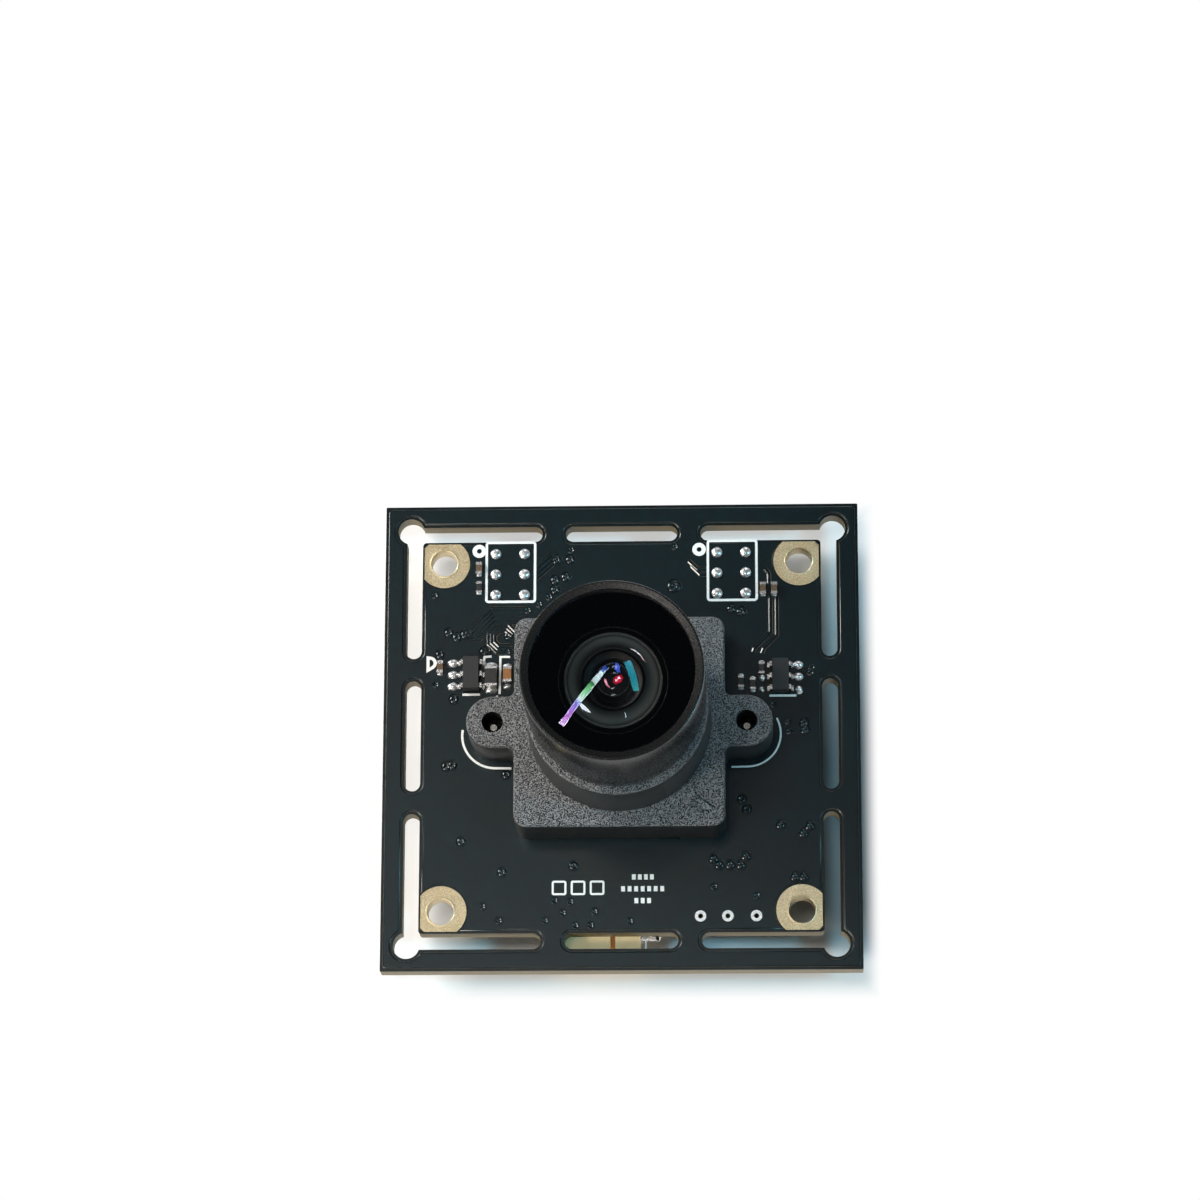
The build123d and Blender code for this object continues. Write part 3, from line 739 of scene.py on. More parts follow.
def copperSheet(name, level, side, places, lanes):
    look = copperLook
    edge = boardHalf - look["setBack"]
    loops = [roundedBox(-edge, -edge, edge, edge, look["corner"])]
    loops += [cornerSlot(signX, signY) for signX in (-1, 1) for signY in (-1, 1)]
    loops += [middleSlot(math.pi / 2 * turn) for turn in range(4)]
    curve = bpy.data.curves.new(name, "CURVE")
    curve.dimensions = "2D"
    curve.fill_mode = "BOTH"
    curve.bevel_depth = look["slope"]
    curve.bevel_resolution = 2
    curve.offset = -look["slope"]
    for loop in loops:
        spline = curve.splines.new("POLY")
        spline.points.add(len(loop) - 1)
        for point, (x, y) in zip(spline.points, loop):
            point.co = (x, y, 0, 1)
        spline.use_cyclic_u = True
    outline = addObject(name + "_outline", curve)
    mesh = settledMesh(outline)
    flat = Matrix.Diagonal((mm, mm, look["height"] / look["slope"] * mm, 1))
    mesh.transform(Matrix.Translation((0, 0, level * mm)) @ flat)
    sheet = addObject(name + "_blank", mesh)
    cutter = addObject(name + "_cutter", clearances(level, side, places, lanes))
    boolean = sheet.modifiers.new("clear", "BOOLEAN")
    boolean.operation = "DIFFERENCE"
    boolean.solver = "EXACT"
    boolean.use_self = True
    boolean.object = cutter
    made = settledMesh(sheet)
    for item in (outline, sheet, cutter):
        bpy.data.objects.remove(item)
    made.name = name
    made.materials.clear()
    made.materials.append(copperMask)
    piece = addObject(name, made)
    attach(piece, "board")
    print(name, "faces:", len(made.polygons))


# Vias: some stand in a clearance of their own, the rest lie in the copper

clearedVias = (
    (-13.8, 8.5), (-13.15, 8.1), (-12.5, 8.35), (-12.2, 8.45), (-14.5, 6.7), (-10.95, 6.9), (-10.7, 7.05),
    (-9.0, 8.2), (-13.35, 3.0), (-13.9, -2.5), (-13.4, -2.4), (-9.1, -3.2), (-12.65, -8.6), (-9.4, -11.1),
    (9.5, -5.3), (9.9, -6.1), (12.6, -7.4), (14.9, -7.5), (14.4, -8.1), (7.3, -10.1), (7.75, -10.6),
    (8.6, -10.6), (9.45, -10.6), (9.85, -9.9), (13.7, -11.6), (14.4, -11.6), (14.5, 0.9), (14.6, 0.3),
    (8.85, 10.3), (9.6, 10.05), (-3.75, -10.6), (-5.3, 12.8), (-4.45, 13.05), (-5.3, 12.0), (-5.2, 14.5),
    (-4.1, 14.5),
)
plainVias = (
    (-9.15, 6.85), (-14.85, 4.2), (4.3, 15.5), (7.35, -12.35), (10.7, -13.1), (0.7, -15.1), (15.2, 5.45),
    (15.1, 5.0), (12.15, 2.45), (13.4, 0.2), (13.3, 1.0), (-10.95, -13.85), (-9.65, -15.0), (-6.0, -15.0),
    (-4.6, -14.4), (-2.1, -14.3), (-3.6, -15.4), (-2.4, -15.4), (-5.25, -13.4), (-4.0, -13.5),
    (-15.0, 11.6), (-4.05, 15.3), (-5.8, 11.4), (-6.6, 10.8), (-7.5, 10.3),
)
bigVia = (4.25, 12.2)

# Traces: lanes of copper in channels cut from the sheet

lanes = [
    [(11.9, 11.3), (11.9, 8.35), (10.6, 7.0), (10.5, 6.7)],
    [(12.4, 11.3), (12.4, 8.1), (11.35, 7.0), (11.2, 6.6)],
    [(-6.9, 13.8), (-5.6, 15.0)],
    [(-6.9, 13.35), (-5.25, 14.85)],
    [(-6.9, 12.9), (-5.5, 14.2)],
    [(5.4, 14.3), (6.1, 13.6), (6.95, 13.6)],
    [(5.6, 13.9), (6.3, 13.2), (6.95, 13.2)],
    [(11.5, 13.6), (11.8, 13.2), (11.8, 12.4)],
    [(14.55, 5.0), (15.2, 5.6)],
]
busLook = {
    "lanes": 5,
    "start": (-7.55, 10.45),
    "apart": 0.285,
    "bend": (-10.5, 0.12),  # where the first lane turns down, and how far each next one is from it
    "drop": (1.85, 0.12),
    "tail": 0.35,
}
for lane in range(busLook["lanes"]):  # bundle at the left
    x, y = busLook["start"]
    y -= lane * busLook["apart"]
    bend = busLook["bend"][0] + lane * busLook["bend"][1]
    drop = busLook["drop"][0] - lane * busLook["drop"][1]
    end = bend - drop
    lanes.append([(x, y), (bend, y), (end, y - drop), (end - busLook["tail"], y - drop)])
coilLook = {
    "centre": (-9.55, 8.0),
    "lanes": 3,
    "inner": 0.62,
    "apart": 0.26,
    "corner": 0.42,  # of its reach
}
for loop in range(coilLook["lanes"]):  # coil of lanes beside the holder
    cx, cy = coilLook["centre"]
    reach = coilLook["inner"] + loop * coilLook["apart"]
    side = reach * coilLook["corner"]
    lanes.append([
        (cx + reach, cy + side), (cx + side, cy + reach), (cx - side, cy + reach), (cx - reach, cy + side),
        (cx - reach, cy - side), (cx - side, cy - reach), (cx + reach * 0.9, cy - reach),
    ])

padClear = [(place, copperLook["padClear"]) for place in copperLook["padPlaces"]]
frontClear = padClear + [(place, copperLook["testClear"]) for place in copperLook["testPlaces"]]
frontClear += [(place, copperLook["viaClear"]) for place in clearedVias]
frontClear += [(place, copperLook["viaHole"]) for place in plainVias]
frontClear.append((bigVia, copperLook["bigViaClear"]))
copperSheet("front_copper_sheet", boardTop, 1, frontClear, lanes)
copperSheet("rear_copper_sheet", 0.0, -1, padClear, [])
frontLevel = boardTop + copperLook["height"]
rearLevel = -copperLook["height"]
print("copper sheets made")


# Print: white ink lines on both faces

printLook = {
    "height": 0.02,
    "frames": ((-10.85, 11.02, -6.95, 15.95), (6.95, 11.02, 10.85, 15.95)),  # round the six-pad footprints
    "corner": 0.18,
    "frame": 0.2,  # widths of the lines
    "leftEar": 0.18,
    "rightEar": 0.14,
    "cluster": 0.18,
    "outline": 0.25,
    "bar": 0.42,
    "square": 0.16,
    "earRadius": 2.68,
    "bars": (1.9, 3.6, 1.5),  # length of each row of bars
    "barsAt": (1.8, -11.55),
    "barEvery": 0.5,
    "barLong": 0.3,
    "barRows": 0.95,
    "squares": 3,
    "squaresAt": (-4.9, -12.4),
    "squareEvery": 1.5,
    "squareHalf": 0.5,
    "squareCorner": 0.1,
    "pinRings": ((-11.45, 15.25), (6.25, 15.25)),
    "pinRing": (0.2, 0.55),  # inner and outer radius
    "dot": (14.2, 3.45),
    "dotRing": (0.12, 0.24),
}
frontPrint = Strips(frontLevel)
inkHigh = printLook["height"]
for box in printLook["frames"]:
    frontPrint.add(roundedBox(*box, printLook["corner"]), printLook["frame"], inkHigh, closed=True)
leftEar = arc((-10.0, 0.0), printLook["earRadius"], 170, 268, 24) + [(-8.75, -2.7)]
rightEar = arc((10.0, 0.0), printLook["earRadius"], 28, -88, 28) + [(8.75, -2.7)]
frontPrint.add(leftEar, printLook["leftEar"], inkHigh)
frontPrint.add(rightEar, printLook["rightEar"], inkHigh)
clusterLines = (
    ((-8.9, 6.45), (-9.68, 6.45), (-9.72, 3.4)),
    ((-12.7, 3.36), (-11.3, 3.36)),
    ((11.8, 3.1), (13.95, 3.1)),
    ((-11.0, 6.15), (-10.95, 6.45), (-10.4, 6.5)),
    ((-9.95, 3.25), (-9.9, 3.0), (-8.6, 3.0)),
)
for path in clusterLines:
    frontPrint.add(path, printLook["cluster"], inkHigh)
outlineMark = [(-15.48, 5.4), (-15.48, 6.42), *arc((-15.33, 5.98), 0.42, 80, -60, 10)]
frontPrint.add(outlineMark, printLook["outline"], inkHigh, closed=True)
middle, top = printLook["barsAt"]
for row, width in enumerate(printLook["bars"]):  # rows of plain bars
    bars = round(width / printLook["barEvery"])
    for bar in range(bars):
        left = middle - width / 2 + bar * width / bars
        y = top - row * printLook["barRows"]
        frontPrint.add([(left, y), (left + printLook["barLong"], y)], printLook["bar"], inkHigh)
for column in range(printLook["squares"]):  # plain squares beside them
    x, y = printLook["squaresAt"]
    x += column * printLook["squareEvery"]
    half = printLook["squareHalf"]
    square = roundedBox(x - half, y - half, x + half, y + half, printLook["squareCorner"])
    frontPrint.add(square, printLook["square"], inkHigh, closed=True)
frontPrint.make("front_print", ink)

verts, faces = [], []
for place in printLook["pinRings"]:
    spin(verts, faces, ringProfile(*printLook["pinRing"], inkHigh + 0.01), place, 28, frontLevel)
spin(verts, faces, ringProfile(*printLook["dotRing"], inkHigh), printLook["dot"], 18, frontLevel)
addPiece("pin_one_marks", verts, faces, ink, "board", smooth=True)
print("front print made")


# Traces and vias, raised under the mask

traceLook = {
    "width": 0.08,
    "lean": 0.09,
}


def makeTraces(name, paths, level, side):
    traces = Strips(level, side)
    for path in paths:
        traces.add(path, traceLook["width"], copperLook["height"], traceLook["lean"])
    traces.make(name, copperMask)


makeTraces("front_traces", lanes, boardTop, 1)

viaLook = {
    "rim": 0.34,
    "height": 0.06,
    "hole": 0.1,
    "big": 1.5,  # times the others
}


def viaProfile(scale=1.0):
    rim, hole, height = viaLook["rim"] * scale, viaLook["hole"] * scale, viaLook["height"]
    outside = [(rim, 0), (rim - 0.04, height * 0.5), (rim - 0.09, height * 0.86), (rim - 0.13, height)]
    inside = [(hole + 0.09, height * 0.94), (hole + 0.04, height * 0.6), (hole, 0.008), (0, 0.004)]
    return outside + inside


def sunkViaProfile():
    rim, hole, height = viaLook["rim"], viaLook["hole"], viaLook["height"]
    outside = [(rim, height * 0.9), (rim - 0.08, height + 0.02), (rim - 0.14, height + 0.012)]
    return [*outside, (hole + 0.06, height * 0.6), (hole, 0.01), (0, 0.006)]


def makeVias(name, cleared, plain, level, side, big=None):
    verts, faces, holeShadeVerts, holeShadeFaces = [], [], [], []
    for place in cleared:
        spin(verts, faces, viaProfile(), place, 20, level, side)
    for place in plain:
        spin(verts, faces, sunkViaProfile(), place, 20, level, side)
    # a near-black disc in each via: painted shade where the hole would be
    for place in (*cleared, *plain):
        spin(holeShadeVerts, holeShadeFaces, [(viaLook["hole"], 0.01), (0, 0.014)], place, 12, level, side)
    if big:
        spin(verts, faces, viaProfile(viaLook["big"]), big, 28, level, side)
    addPiece(name + "_vias", verts, faces, rimMask, "board", smooth=True)
    addPiece(name + "_via_plugs", holeShadeVerts, holeShadeFaces, viaHoleShade, "board")


makeVias("front", clearedVias, plainVias, boardTop, 1, bigVia)

wallLook = {
    "outer": 1.1,
    "inner": 1.05,
    "lip": 1.22,
    "high": 0.075,
}


def holeWallProfile():  # a plated tube with a lip on the front pad
    outer, inner, lip, high = (wallLook[key] for key in ("outer", "inner", "lip", "high"))
    top = boardTop + high
    lipped = [(outer, -high), (outer, boardTop), (lip, boardTop + 0.02), (lip, top - 0.02), (outer, top)]
    bore = [(inner + 0.03, top - 0.01), (inner, boardTop), (inner, 0), (outer - 0.02, -high), (outer, -high)]
    return lipped + bore


verts, faces = [], []
for place in copperLook["padPlaces"]:
    spin(verts, faces, holeWallProfile(), place, 48, 0.0)
addPiece("plated_hole_walls", verts, faces, gold, "board", smooth=True)
print("traces and vias made:", len(lanes), len(clearedVias) + len(plainVias))


# Solder: domes on the empty footprints, fillets at leads and chip ends

footprintLook = {
    "places": {"left": (-8.95, 13.3), "right": (8.83, 13.3)},
    "dome": (0.9, 0.27),
    "columns": 2.3,
    "rows": 1.7,
}
for name, (cx, cy) in footprintLook["places"].items():
    verts, faces = [], []
    for column in (-0.5, 0.5):
        for row in (-1, 0, 1):
            place = (cx + column * footprintLook["columns"], cy + row * footprintLook["rows"])
            spin(verts, faces, dome(*footprintLook["dome"], 8), place, 32, boardTop)
    domes = addPiece(name + "_footprint_domes", verts, faces, solder, "board", smooth=True)
    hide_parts(name + "_footprint_solder")


def makeFillets(name, fillets, rings, steps, level, side, shake):  # a squashed mound at each place
    verts, faces = [], []
    for order, (x, y, wide, deep, high) in enumerate(fillets):
        shape, squash = dome(wide, high, rings), (1.0, deep / wide)
        spin(verts, faces, shape, (x, y), steps, level, side, squash, shake, order)
    addPiece(name, verts, faces, solder, "board", smooth=True)


# Each fillet: x, y, width along x, width along y, height
fillets = [(-13.45, 4.98 + row * 0.96, 0.95, 0.7, 0.34) for row in (-1, 0, 1)]
fillets += [(14.12, 4.64 + row * 0.96, 0.85, 0.7, 0.3) for row in (0, 1)]
fillets += [
    (14.15, 3.6, 0.6, 0.6, 0.28), (-10.98, 5.94, 0.34, 0.34, 0.16), (-10.98, 4.02, 0.34, 0.34, 0.16),
    (-10.4, 5.72, 1.0, 0.62, 0.36), (-10.4, 3.7, 1.0, 0.62, 0.36), (-9.1, 5.72, 0.72, 0.4, 0.26),
    (-9.1, 4.0, 0.72, 0.5, 0.3), (-14.5, 6.15, 0.5, 0.24, 0.16), (-14.5, 5.05, 0.5, 0.24, 0.16),
    (-11.45, 14.28, 0.46, 0.2, 0.14), (-11.45, 13.22, 0.46, 0.2, 0.14), (-11.45, 12.7, 0.45, 0.2, 0.14),
    (-11.45, 11.7, 0.45, 0.2, 0.14), (11.25, 4.56, 0.62, 0.6, 0.26), (11.2, 3.6, 0.52, 0.5, 0.26),
    (11.2, 5.9, 0.46, 0.26, 0.16), (10.5, 4.6, 0.46, 0.26, 0.16), (10.5, 3.5, 0.46, 0.26, 0.16),
    (9.55, 4.8, 0.5, 0.28, 0.16), (9.55, 3.7, 0.5, 0.28, 0.16), (11.35, 12.43, 0.46, 0.2, 0.14),
    (11.35, 11.37, 0.46, 0.2, 0.14), (12.25, 12.43, 0.46, 0.2, 0.14), (12.25, 11.37, 0.46, 0.2, 0.14),
]
makeFillets("front_solder_fillets", fillets, 6, 22, boardTop, 1, 0.08)
print("solder made:", len(fillets))


# Lens barrel: satin head and a true helical thread

barrelSize = {
    "rear": 4.9,
    "rearBore": 3.3,
    "threadRadius": 5.98,
    "threadDepth": 0.27,
    "pitch": 0.5,
    "crest": 0.12,  # its flat, and the flank after it, as shares of half a pitch
    "flank": 0.76,
    "chamfer": 0.3,
    "runIn": 0.15,  # from the rear to the thread
    "neck": 0.45,  # from the thread to the head
    "headRear": 13.3,
    "headFront": 21.0,
    "headRadius": 7.0,
    "headEdge": 0.16,
    "lipRadius": 6.3,
    "lipDip": 0.07,
    "lipThick": 0.3,
    "pocketRadius": 6.45,
    "pocketFloor": 16.2,
    "frontBore": 3.85,
    "webTop": 13.0,
    "webThick": 0.4,
    "webRadius": 2.3,
    "segments": 144,
    "rowsPerTurn": 9,
}


def share(value):  # kept between 0 and 1
    return min(1, max(0, value))


def makeBarrel():
    look = barrelSize
    rear, headRear, front = look["rear"], look["headRear"], look["headFront"]
    radius, edge, web = look["headRadius"], look["headEdge"], look["webTop"] - look["webThick"]
    thread, deep, pitch = look["threadRadius"], look["threadDepth"], look["pitch"]
    start, neck = rear + look["runIn"], headRear - look["neck"]
    mouth = front - look["lipDip"]  # the front face falls gently to its inner edge
    seat = front - look["lipThick"]
    count = round((neck - start) / pitch * look["rowsPerTurn"])
    below = [(look["rearBore"], rear), (thread - look["chamfer"], rear)]
    screw = [(thread, start + (neck - start) * row / count) for row in range(count + 1)]
    rows = below + screw + [
        (thread - deep, neck + 0.1), (thread - deep, headRear), (radius - edge, headRear),
        (radius - edge * 0.3, headRear + edge * 0.3), (radius, headRear + edge), (radius, front - edge),
        (radius - edge * 0.3, front - edge * 0.3), (radius - edge, front),
        (radius - edge - 0.03, front - look["lipDip"] * 0.06), (look["lipRadius"] + 0.05, mouth),
        (look["lipRadius"], mouth - 0.05), (look["lipRadius"], seat), (look["pocketRadius"], seat),
        (look["pocketRadius"], look["pocketFloor"]), (look["frontBore"], look["pocketFloor"]),
        (look["frontBore"], look["webTop"]), (look["webRadius"], look["webTop"]), (look["webRadius"], web),
        (look["rearBore"], web),
    ]
    verts, faces = [], []
    steps = look["segments"]
    for row, (reach, height) in enumerate(rows):
        threaded = len(below) <= row < len(below) + len(screw)
        fade = share((height - start) / pitch) * share((neck + 0.1 - height) / pitch)
        for step in range(steps):
            angle = 2 * math.pi * step / steps
            depth = 0
            if threaded:
                groove = abs((height / pitch - step / steps) % 1 - 0.5) * 2  # 0 at the crest, 1 at the root
                groove = share((groove - look["crest"]) / look["flank"])
                depth = deep * (groove * fade + (1 - fade))
            x, y = (reach - depth) * math.cos(angle), (reach - depth) * math.sin(angle)
            verts.append((x, y, boardTop + height))
    for row in range(len(rows)):
        here, there = row * steps, (row + 1) % len(rows) * steps
        for step in range(steps):
            after = (step + 1) % steps
            faces.append((here + step, here + after, there + after, there + step))
    barrel = addPiece("threaded_barrel", verts, faces, blackMetal, "barrel", smooth=True)
    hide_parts("lens_barrel")


makeBarrel()


# Glass the eye sees into: finely turned copies of the front two elements

glassSizes = {
    "front_element": {
        "edge": 6.43,
        "rimTop": 20.7,
        "rimBottom": 16.2,
        "crown": (6.28, 0.85),  # radius and bulge
        "hollow": (2.3, -1.3),
        "ground": (3.27, 0.45),  # radius and rise of the dull bevel round the hollow
        "finishes": (frontGlass, hollowGlass, groundGlass),
    },
    "second_element": {
        "edge": 3.83,
        "rimTop": 14.5,
        "rimBottom": 13.0,
        "crown": (3.18, 0.7),
        "hollow": (3.18, -0.8),
        "ground": (3.2, 0.0),
        "finishes": (innerGlass, innerGlass, innerGlass),
    },
}


glassTurning = {
    "hollowRings": 28,
    "crownRings": 32,
    "segments": 144,
}


def capPoints(radius, bulge, rings):  # from the rim in to the axis, heights above the rim
    curve = (radius**2 + bulge**2) / (2 * abs(bulge))
    points = []
    for ring in range(rings + 1):
        out = radius * (1 - ring / rings)
        rise = math.sqrt(curve**2 - out**2) - (curve - abs(bulge))
        points.append((out, math.copysign(rise, bulge)))
    return points


def makeGlass(name, size):
    edge, rimTop, rimBottom = size["edge"], size["rimTop"], size["rimBottom"]
    groundRadius, groundRise = size["ground"]
    seat = rimBottom + groundRise  # where the hollow starts, above its ground bevel
    hollow = [(out, seat - rise) for out, rise in capPoints(*size["hollow"], glassTurning["hollowRings"])]
    crown = [(out, rimTop + rise) for out, rise in capPoints(*size["crown"], glassTurning["crownRings"])]
    profile = [*reversed(hollow), (groundRadius, rimBottom), (edge, rimBottom), (edge, rimTop), *crown]
    verts, faces = [], []
    spin(verts, faces, profile, (0, 0), glassTurning["segments"], boardTop)
    polished, inside, ground = size["finishes"]
    glass = addPiece(name + "_glass", verts, faces, polished, "lens_stack", True, sharp=10)
    for material in (inside, ground, edgeBlack):
        glass.data.materials.append(material)
    for face in glass.data.polygons:
        out = max(math.hypot(*glass.data.vertices[v].co[:2]) for v in face.vertices) / mm
        if out > size["crown"][0] + 0.02:
            face.material_index = 3
        elif face.normal.z < -0.01:
            face.material_index = 1 if out < size["hollow"][0] + 0.01 else 2
    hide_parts(name)


for name, size in glassSizes.items():
    makeGlass(name, size)
print("barrel and glass made")


# Rear face: print, copper and joints round the chips that hold the module's electronics

rearLook = {
    "frame": 0.15,  # widths of the lines
    "bar": 0.12,
    "corner": 0.2,
    "chipHalf": (0.48, 0.5),
    "socket": (-6.6, 3.2, -12.7),  # no vias between these and below this
    "looseVias": 26,
    "looseAcross": (-14.5, 14.5),
    "looseUp": (-9.0, 0.5),
}
rearFrames = (  # left, bottom, right, top
    (-4.75, 1.45, 4.75, 10.95), (6.1, 5.75, 13.1, 11.45),
    (-10.6, 1.75, -6.6, 5.05), (-5.3, -17.9, 1.9, -12.9),
)
rearChips = (
    (-8.4, 10.2), (-8.4, 8.6), (-8.4, 7.0), (6.3, 1.0), (7.8, 1.0), (-4.0, -9.6), (-2.4, -9.6), (-6.6, -4.0),
    (-6.6, -5.6), (1.6, -12.4), (3.2, -12.4), (9.0, 4.0), (10.5, 4.0),
)
rearPrint = Strips(rearLevel, -1)
for box in rearFrames:
    rearPrint.add(roundedBox(*box, rearLook["corner"]), rearLook["frame"], inkHigh, closed=True)
for x, y in rearChips:
    across, along = rearLook["chipHalf"]
    for side in (x - across, x + across):
        rearPrint.add([(side, y - along), (side, y + along)], rearLook["bar"], inkHigh)
rearPrint.make("rear_print", ink)

rearPaths = []
for lane in range(6):  # fan-out from the processor's lower side down to the socket
    x, end, step = -2.25 + lane * 0.9, -4.0 + lane * 0.75, lane * 0.35
    rearPaths.append([(x, 1.2), (x, -1.0 - step), (end, -3.6 - step), (end, -8.4)])
for lane in range(4):  # to the memory
    y = 8.1 - lane * 0.62
    rearPaths.append([(4.9, y), (5.5, y), (6.0, y + 0.5)])
for lane in range(4):  # from the socket
    x = -4.0 + lane * 1.25
    rearPaths.append([(x, -12.6), (x, -11.2), (x + 0.9, -10.3)])
rearPaths += [
    [(-10.9, 3.4), (-12.4, 3.4), (-13.6, 2.2), (-13.6, -6.0)],
    [(-4.9, 4.2), (-5.6, 4.2), (-6.3, 3.6)],
    [(12.9, 3.8), (13.8, 2.9), (13.8, -7.0), (11.2, -9.6), (5.0, -9.6)],
]
makeTraces("rear_traces", rearPaths, rearLevel, -1)

wander = random.Random(4)
left, right, top = rearLook["socket"]
rearVias = [(x, y) for x, y in (*clearedVias, *plainVias) if not (left < x < right and y < top)]
for _ in range(rearLook["looseVias"]):
    rearVias.append((wander.uniform(*rearLook["looseAcross"]), wander.uniform(*rearLook["looseUp"])))
makeVias("rear", rearVias, [], rearLevel, -1)

# Leads a row, their pitch, the part's middle, how far out the row is, and the joint's width, depth and height
rearLeads = {
    "processor": (12, 0.5, (0.0, 6.2), 4.55, (0.34, 0.26, 0.1)),
    "memory": (4, 1.27, (9.6, 8.6), 3.05, (0.5, 0.5, 0.16)),
    "contacts": (4, 1.25, (-1.7, -12.3), 0.0, (0.5, 0.9, 0.2)),
    "tabs": (2, 9.2, (-1.7, -15.45), 0.0, (0.6, 1.9, 0.2)),
}
rearJoints = []
leads, pitch, (cx, cy), reach, (wide, deep, high) = rearLeads["processor"]
for lane in range(leads):
    along = (lane - (leads - 1) / 2) * pitch
    rearJoints.append((cx + reach, cy + along, wide, deep, high))
    rearJoints.append((cx + along, cy + reach, deep, wide, high))
    rearJoints.append((cx - reach, cy + along, wide, deep, high))
    rearJoints.append((cx + along, cy - reach, deep, wide, high))
leads, pitch, (cx, cy), reach, joint = rearLeads["memory"]
for lane in range(leads):
    for side in (-reach, reach):
        rearJoints.append((cx + side, cy + (lane - (leads - 1) / 2) * pitch, *joint))
for name in ("contacts", "tabs"):  # both of the socket
    leads, pitch, (cx, cy), reach, joint = rearLeads[name]
    rearJoints += [(cx + (lane - (leads - 1) / 2) * pitch, cy - reach, *joint) for lane in range(leads)]
makeFillets("rear_solder_joints", rearJoints, 4, 16, 0.0, -1, 0.06)
print("rear face made")


# Studio: white floor that keeps the shadow, soft lamps, and cards that only gloss sees

studioLook = {
    "floorHalf": 3000.0,
    "shaded": 19.0,  # the paper keeps its shadow inside this distance
    "white": 20.6,  # and is plain white from here on
    "paper": (0.9, 0.9, 0.9),
    "paintedShade": (0.3, 0.3, 0.3),  # painted shade on the paper under the lower right slots
    "paintedShadeAcross": (8.0, 14.0),  # it comes in along x here
    "paintedShadeUp": (-17.5, -14.0),  # comes in along y here
    "paintedShadeOut": (0.0, 14.0),  # and goes out here
    "ambient": 0.1,
    "gloss": 0.05,  # what polished glass sees of the dark room
    "tint": (0.93, 0.97, 1.0),
    "horizon": (0.16, 0.22),  # white up to here, as the sine of the height
    "target": 8.0,  # height that the lamps face
}
plainWhite = {"Color": (1.0, 1.0, 1.0), "Strength": 1.0}


def stagePiece(name, mesh, material):
    mesh.materials.append(material)
    piece = addObject(name, mesh)
    return piece


def floorFinish():
    look = studioLook
    finish = Finish("floor_paper")
    x, y, _ = finish.parts(finish.place())
    far = abs(x).most(abs(y)).ramp(look["shaded"], look["white"])
    # painted shade: the paper's colour is darkened under the lower right slots
    paintedShade = x.ramp(*look["paintedShadeAcross"]) * y.ramp(*look["paintedShadeUp"]) * (1 - y.ramp(*look["paintedShadeOut"]))
    finish.set(Base_Color=finish.mix(paintedShade, look["paper"], look["paintedShade"]), Roughness=0.9, Specular_IOR_Level=0.0)
    white = finish.add("ShaderNodeEmission", {}, plainWhite)
    paper = finish.add("ShaderNodeMixShader", {}, {0: finish.looked() * far, 1: finish.surface, 2: white})
    clear = finish.add("ShaderNodeBsdfTransparent")
    below = finish.add("ShaderNodeNewGeometry", out="Backfacing")
    finish.blend(below, paper, clear)  # seen from below, the paper isn't there
    return finish.material


def roomFinish():
    finish = Finish("studio", "ShaderNodeBackground", world=True)
    height = finish.parts(finish.add("ShaderNodeTexCoord", out="Generated"))[2]
    ambient, gloss = studioLook["ambient"], studioLook["gloss"]
    finish.set(Color=studioLook["tint"], Strength=ambient - finish.ray("Singular") * (ambient - gloss))
    white = finish.add("ShaderNodeBackground", {}, plainWhite)
    finish.blend(finish.looked() * (1 - height.ramp(*studioLook["horizon"])), finish.surface, white)
    return finish.material


floorZ = cadBox[0][2] / mm
half = studioLook["floorHalf"]
corners = [(x * half, y * half, floorZ) for x, y in ((-1, -1), (1, -1), (1, 1), (-1, 1))]
floor = stagePiece("floor", plainMesh("floor", corners, [(0, 1, 2, 3)]), floorFinish())
floor.visible_shadow = False  # lets the lamp under it reach the rear face
bpy.context.scene.world = roomFinish()

# Each lamp: degrees round and up, distance, width and height, level, tint
lamps = {
    "back_soft": (85, 30, 700, (240, 160), 0.12, (0.9, 0.97, 1.0)),
    "under_fill": (-70, -50, 600, (300, 300), 0.3, (1.0, 1.0, 1.0)),
    "front_fill": (-95, 50, 750, (260, 40), 0.045, (1.0, 1.0, 1.0)),
}
# The same for the soft panels, which metal, mask and plastic see and polished glass doesn't
panels = {
    "left_window": (212, 38, 650, (150, 150), 0.65, (1.0, 0.93, 0.84)),
    "corner_window": (150, 26, 650, (220, 180), 1.1, (1.0, 0.99, 0.97)),
    "right_blue": (-8, 50, 650, (110, 110), 0.34, (0.3, 0.78, 1.0)),
    "rim_spot": (174, 78, 630, (110, 110), 0.14, (1.0, 0.94, 0.88)),
    "overhead": (155, 80, 630, (234, 260), 0.041, (1.0, 0.98, 0.95)),
}


def lampPlace(around, up, far):
    around, up = math.radians(around), math.radians(up)
    way = Vector((math.cos(up) * math.cos(around), math.cos(up) * math.sin(around), math.sin(up)))
    target = Vector((0, 0, studioLook["target"] * mm))
    spot = target + way * far * mm
    return Matrix.Translation(spot) @ (target - spot).to_track_quat("-Z", "Y").to_matrix().to_4x4()


for name, (around, up, far, (wide, deep), level, tint) in lamps.items():
    light = bpy.data.lights.new(name, "AREA")
    light.shape = "RECTANGLE"
    light.size, light.size_y = wide * mm, deep * mm
    light.color = tint
    light.energy = level * math.pi**2 * (far * mm) ** 2
    lamp = addObject(name, light)
    lamp.matrix_world = lampPlace(around, up, far)

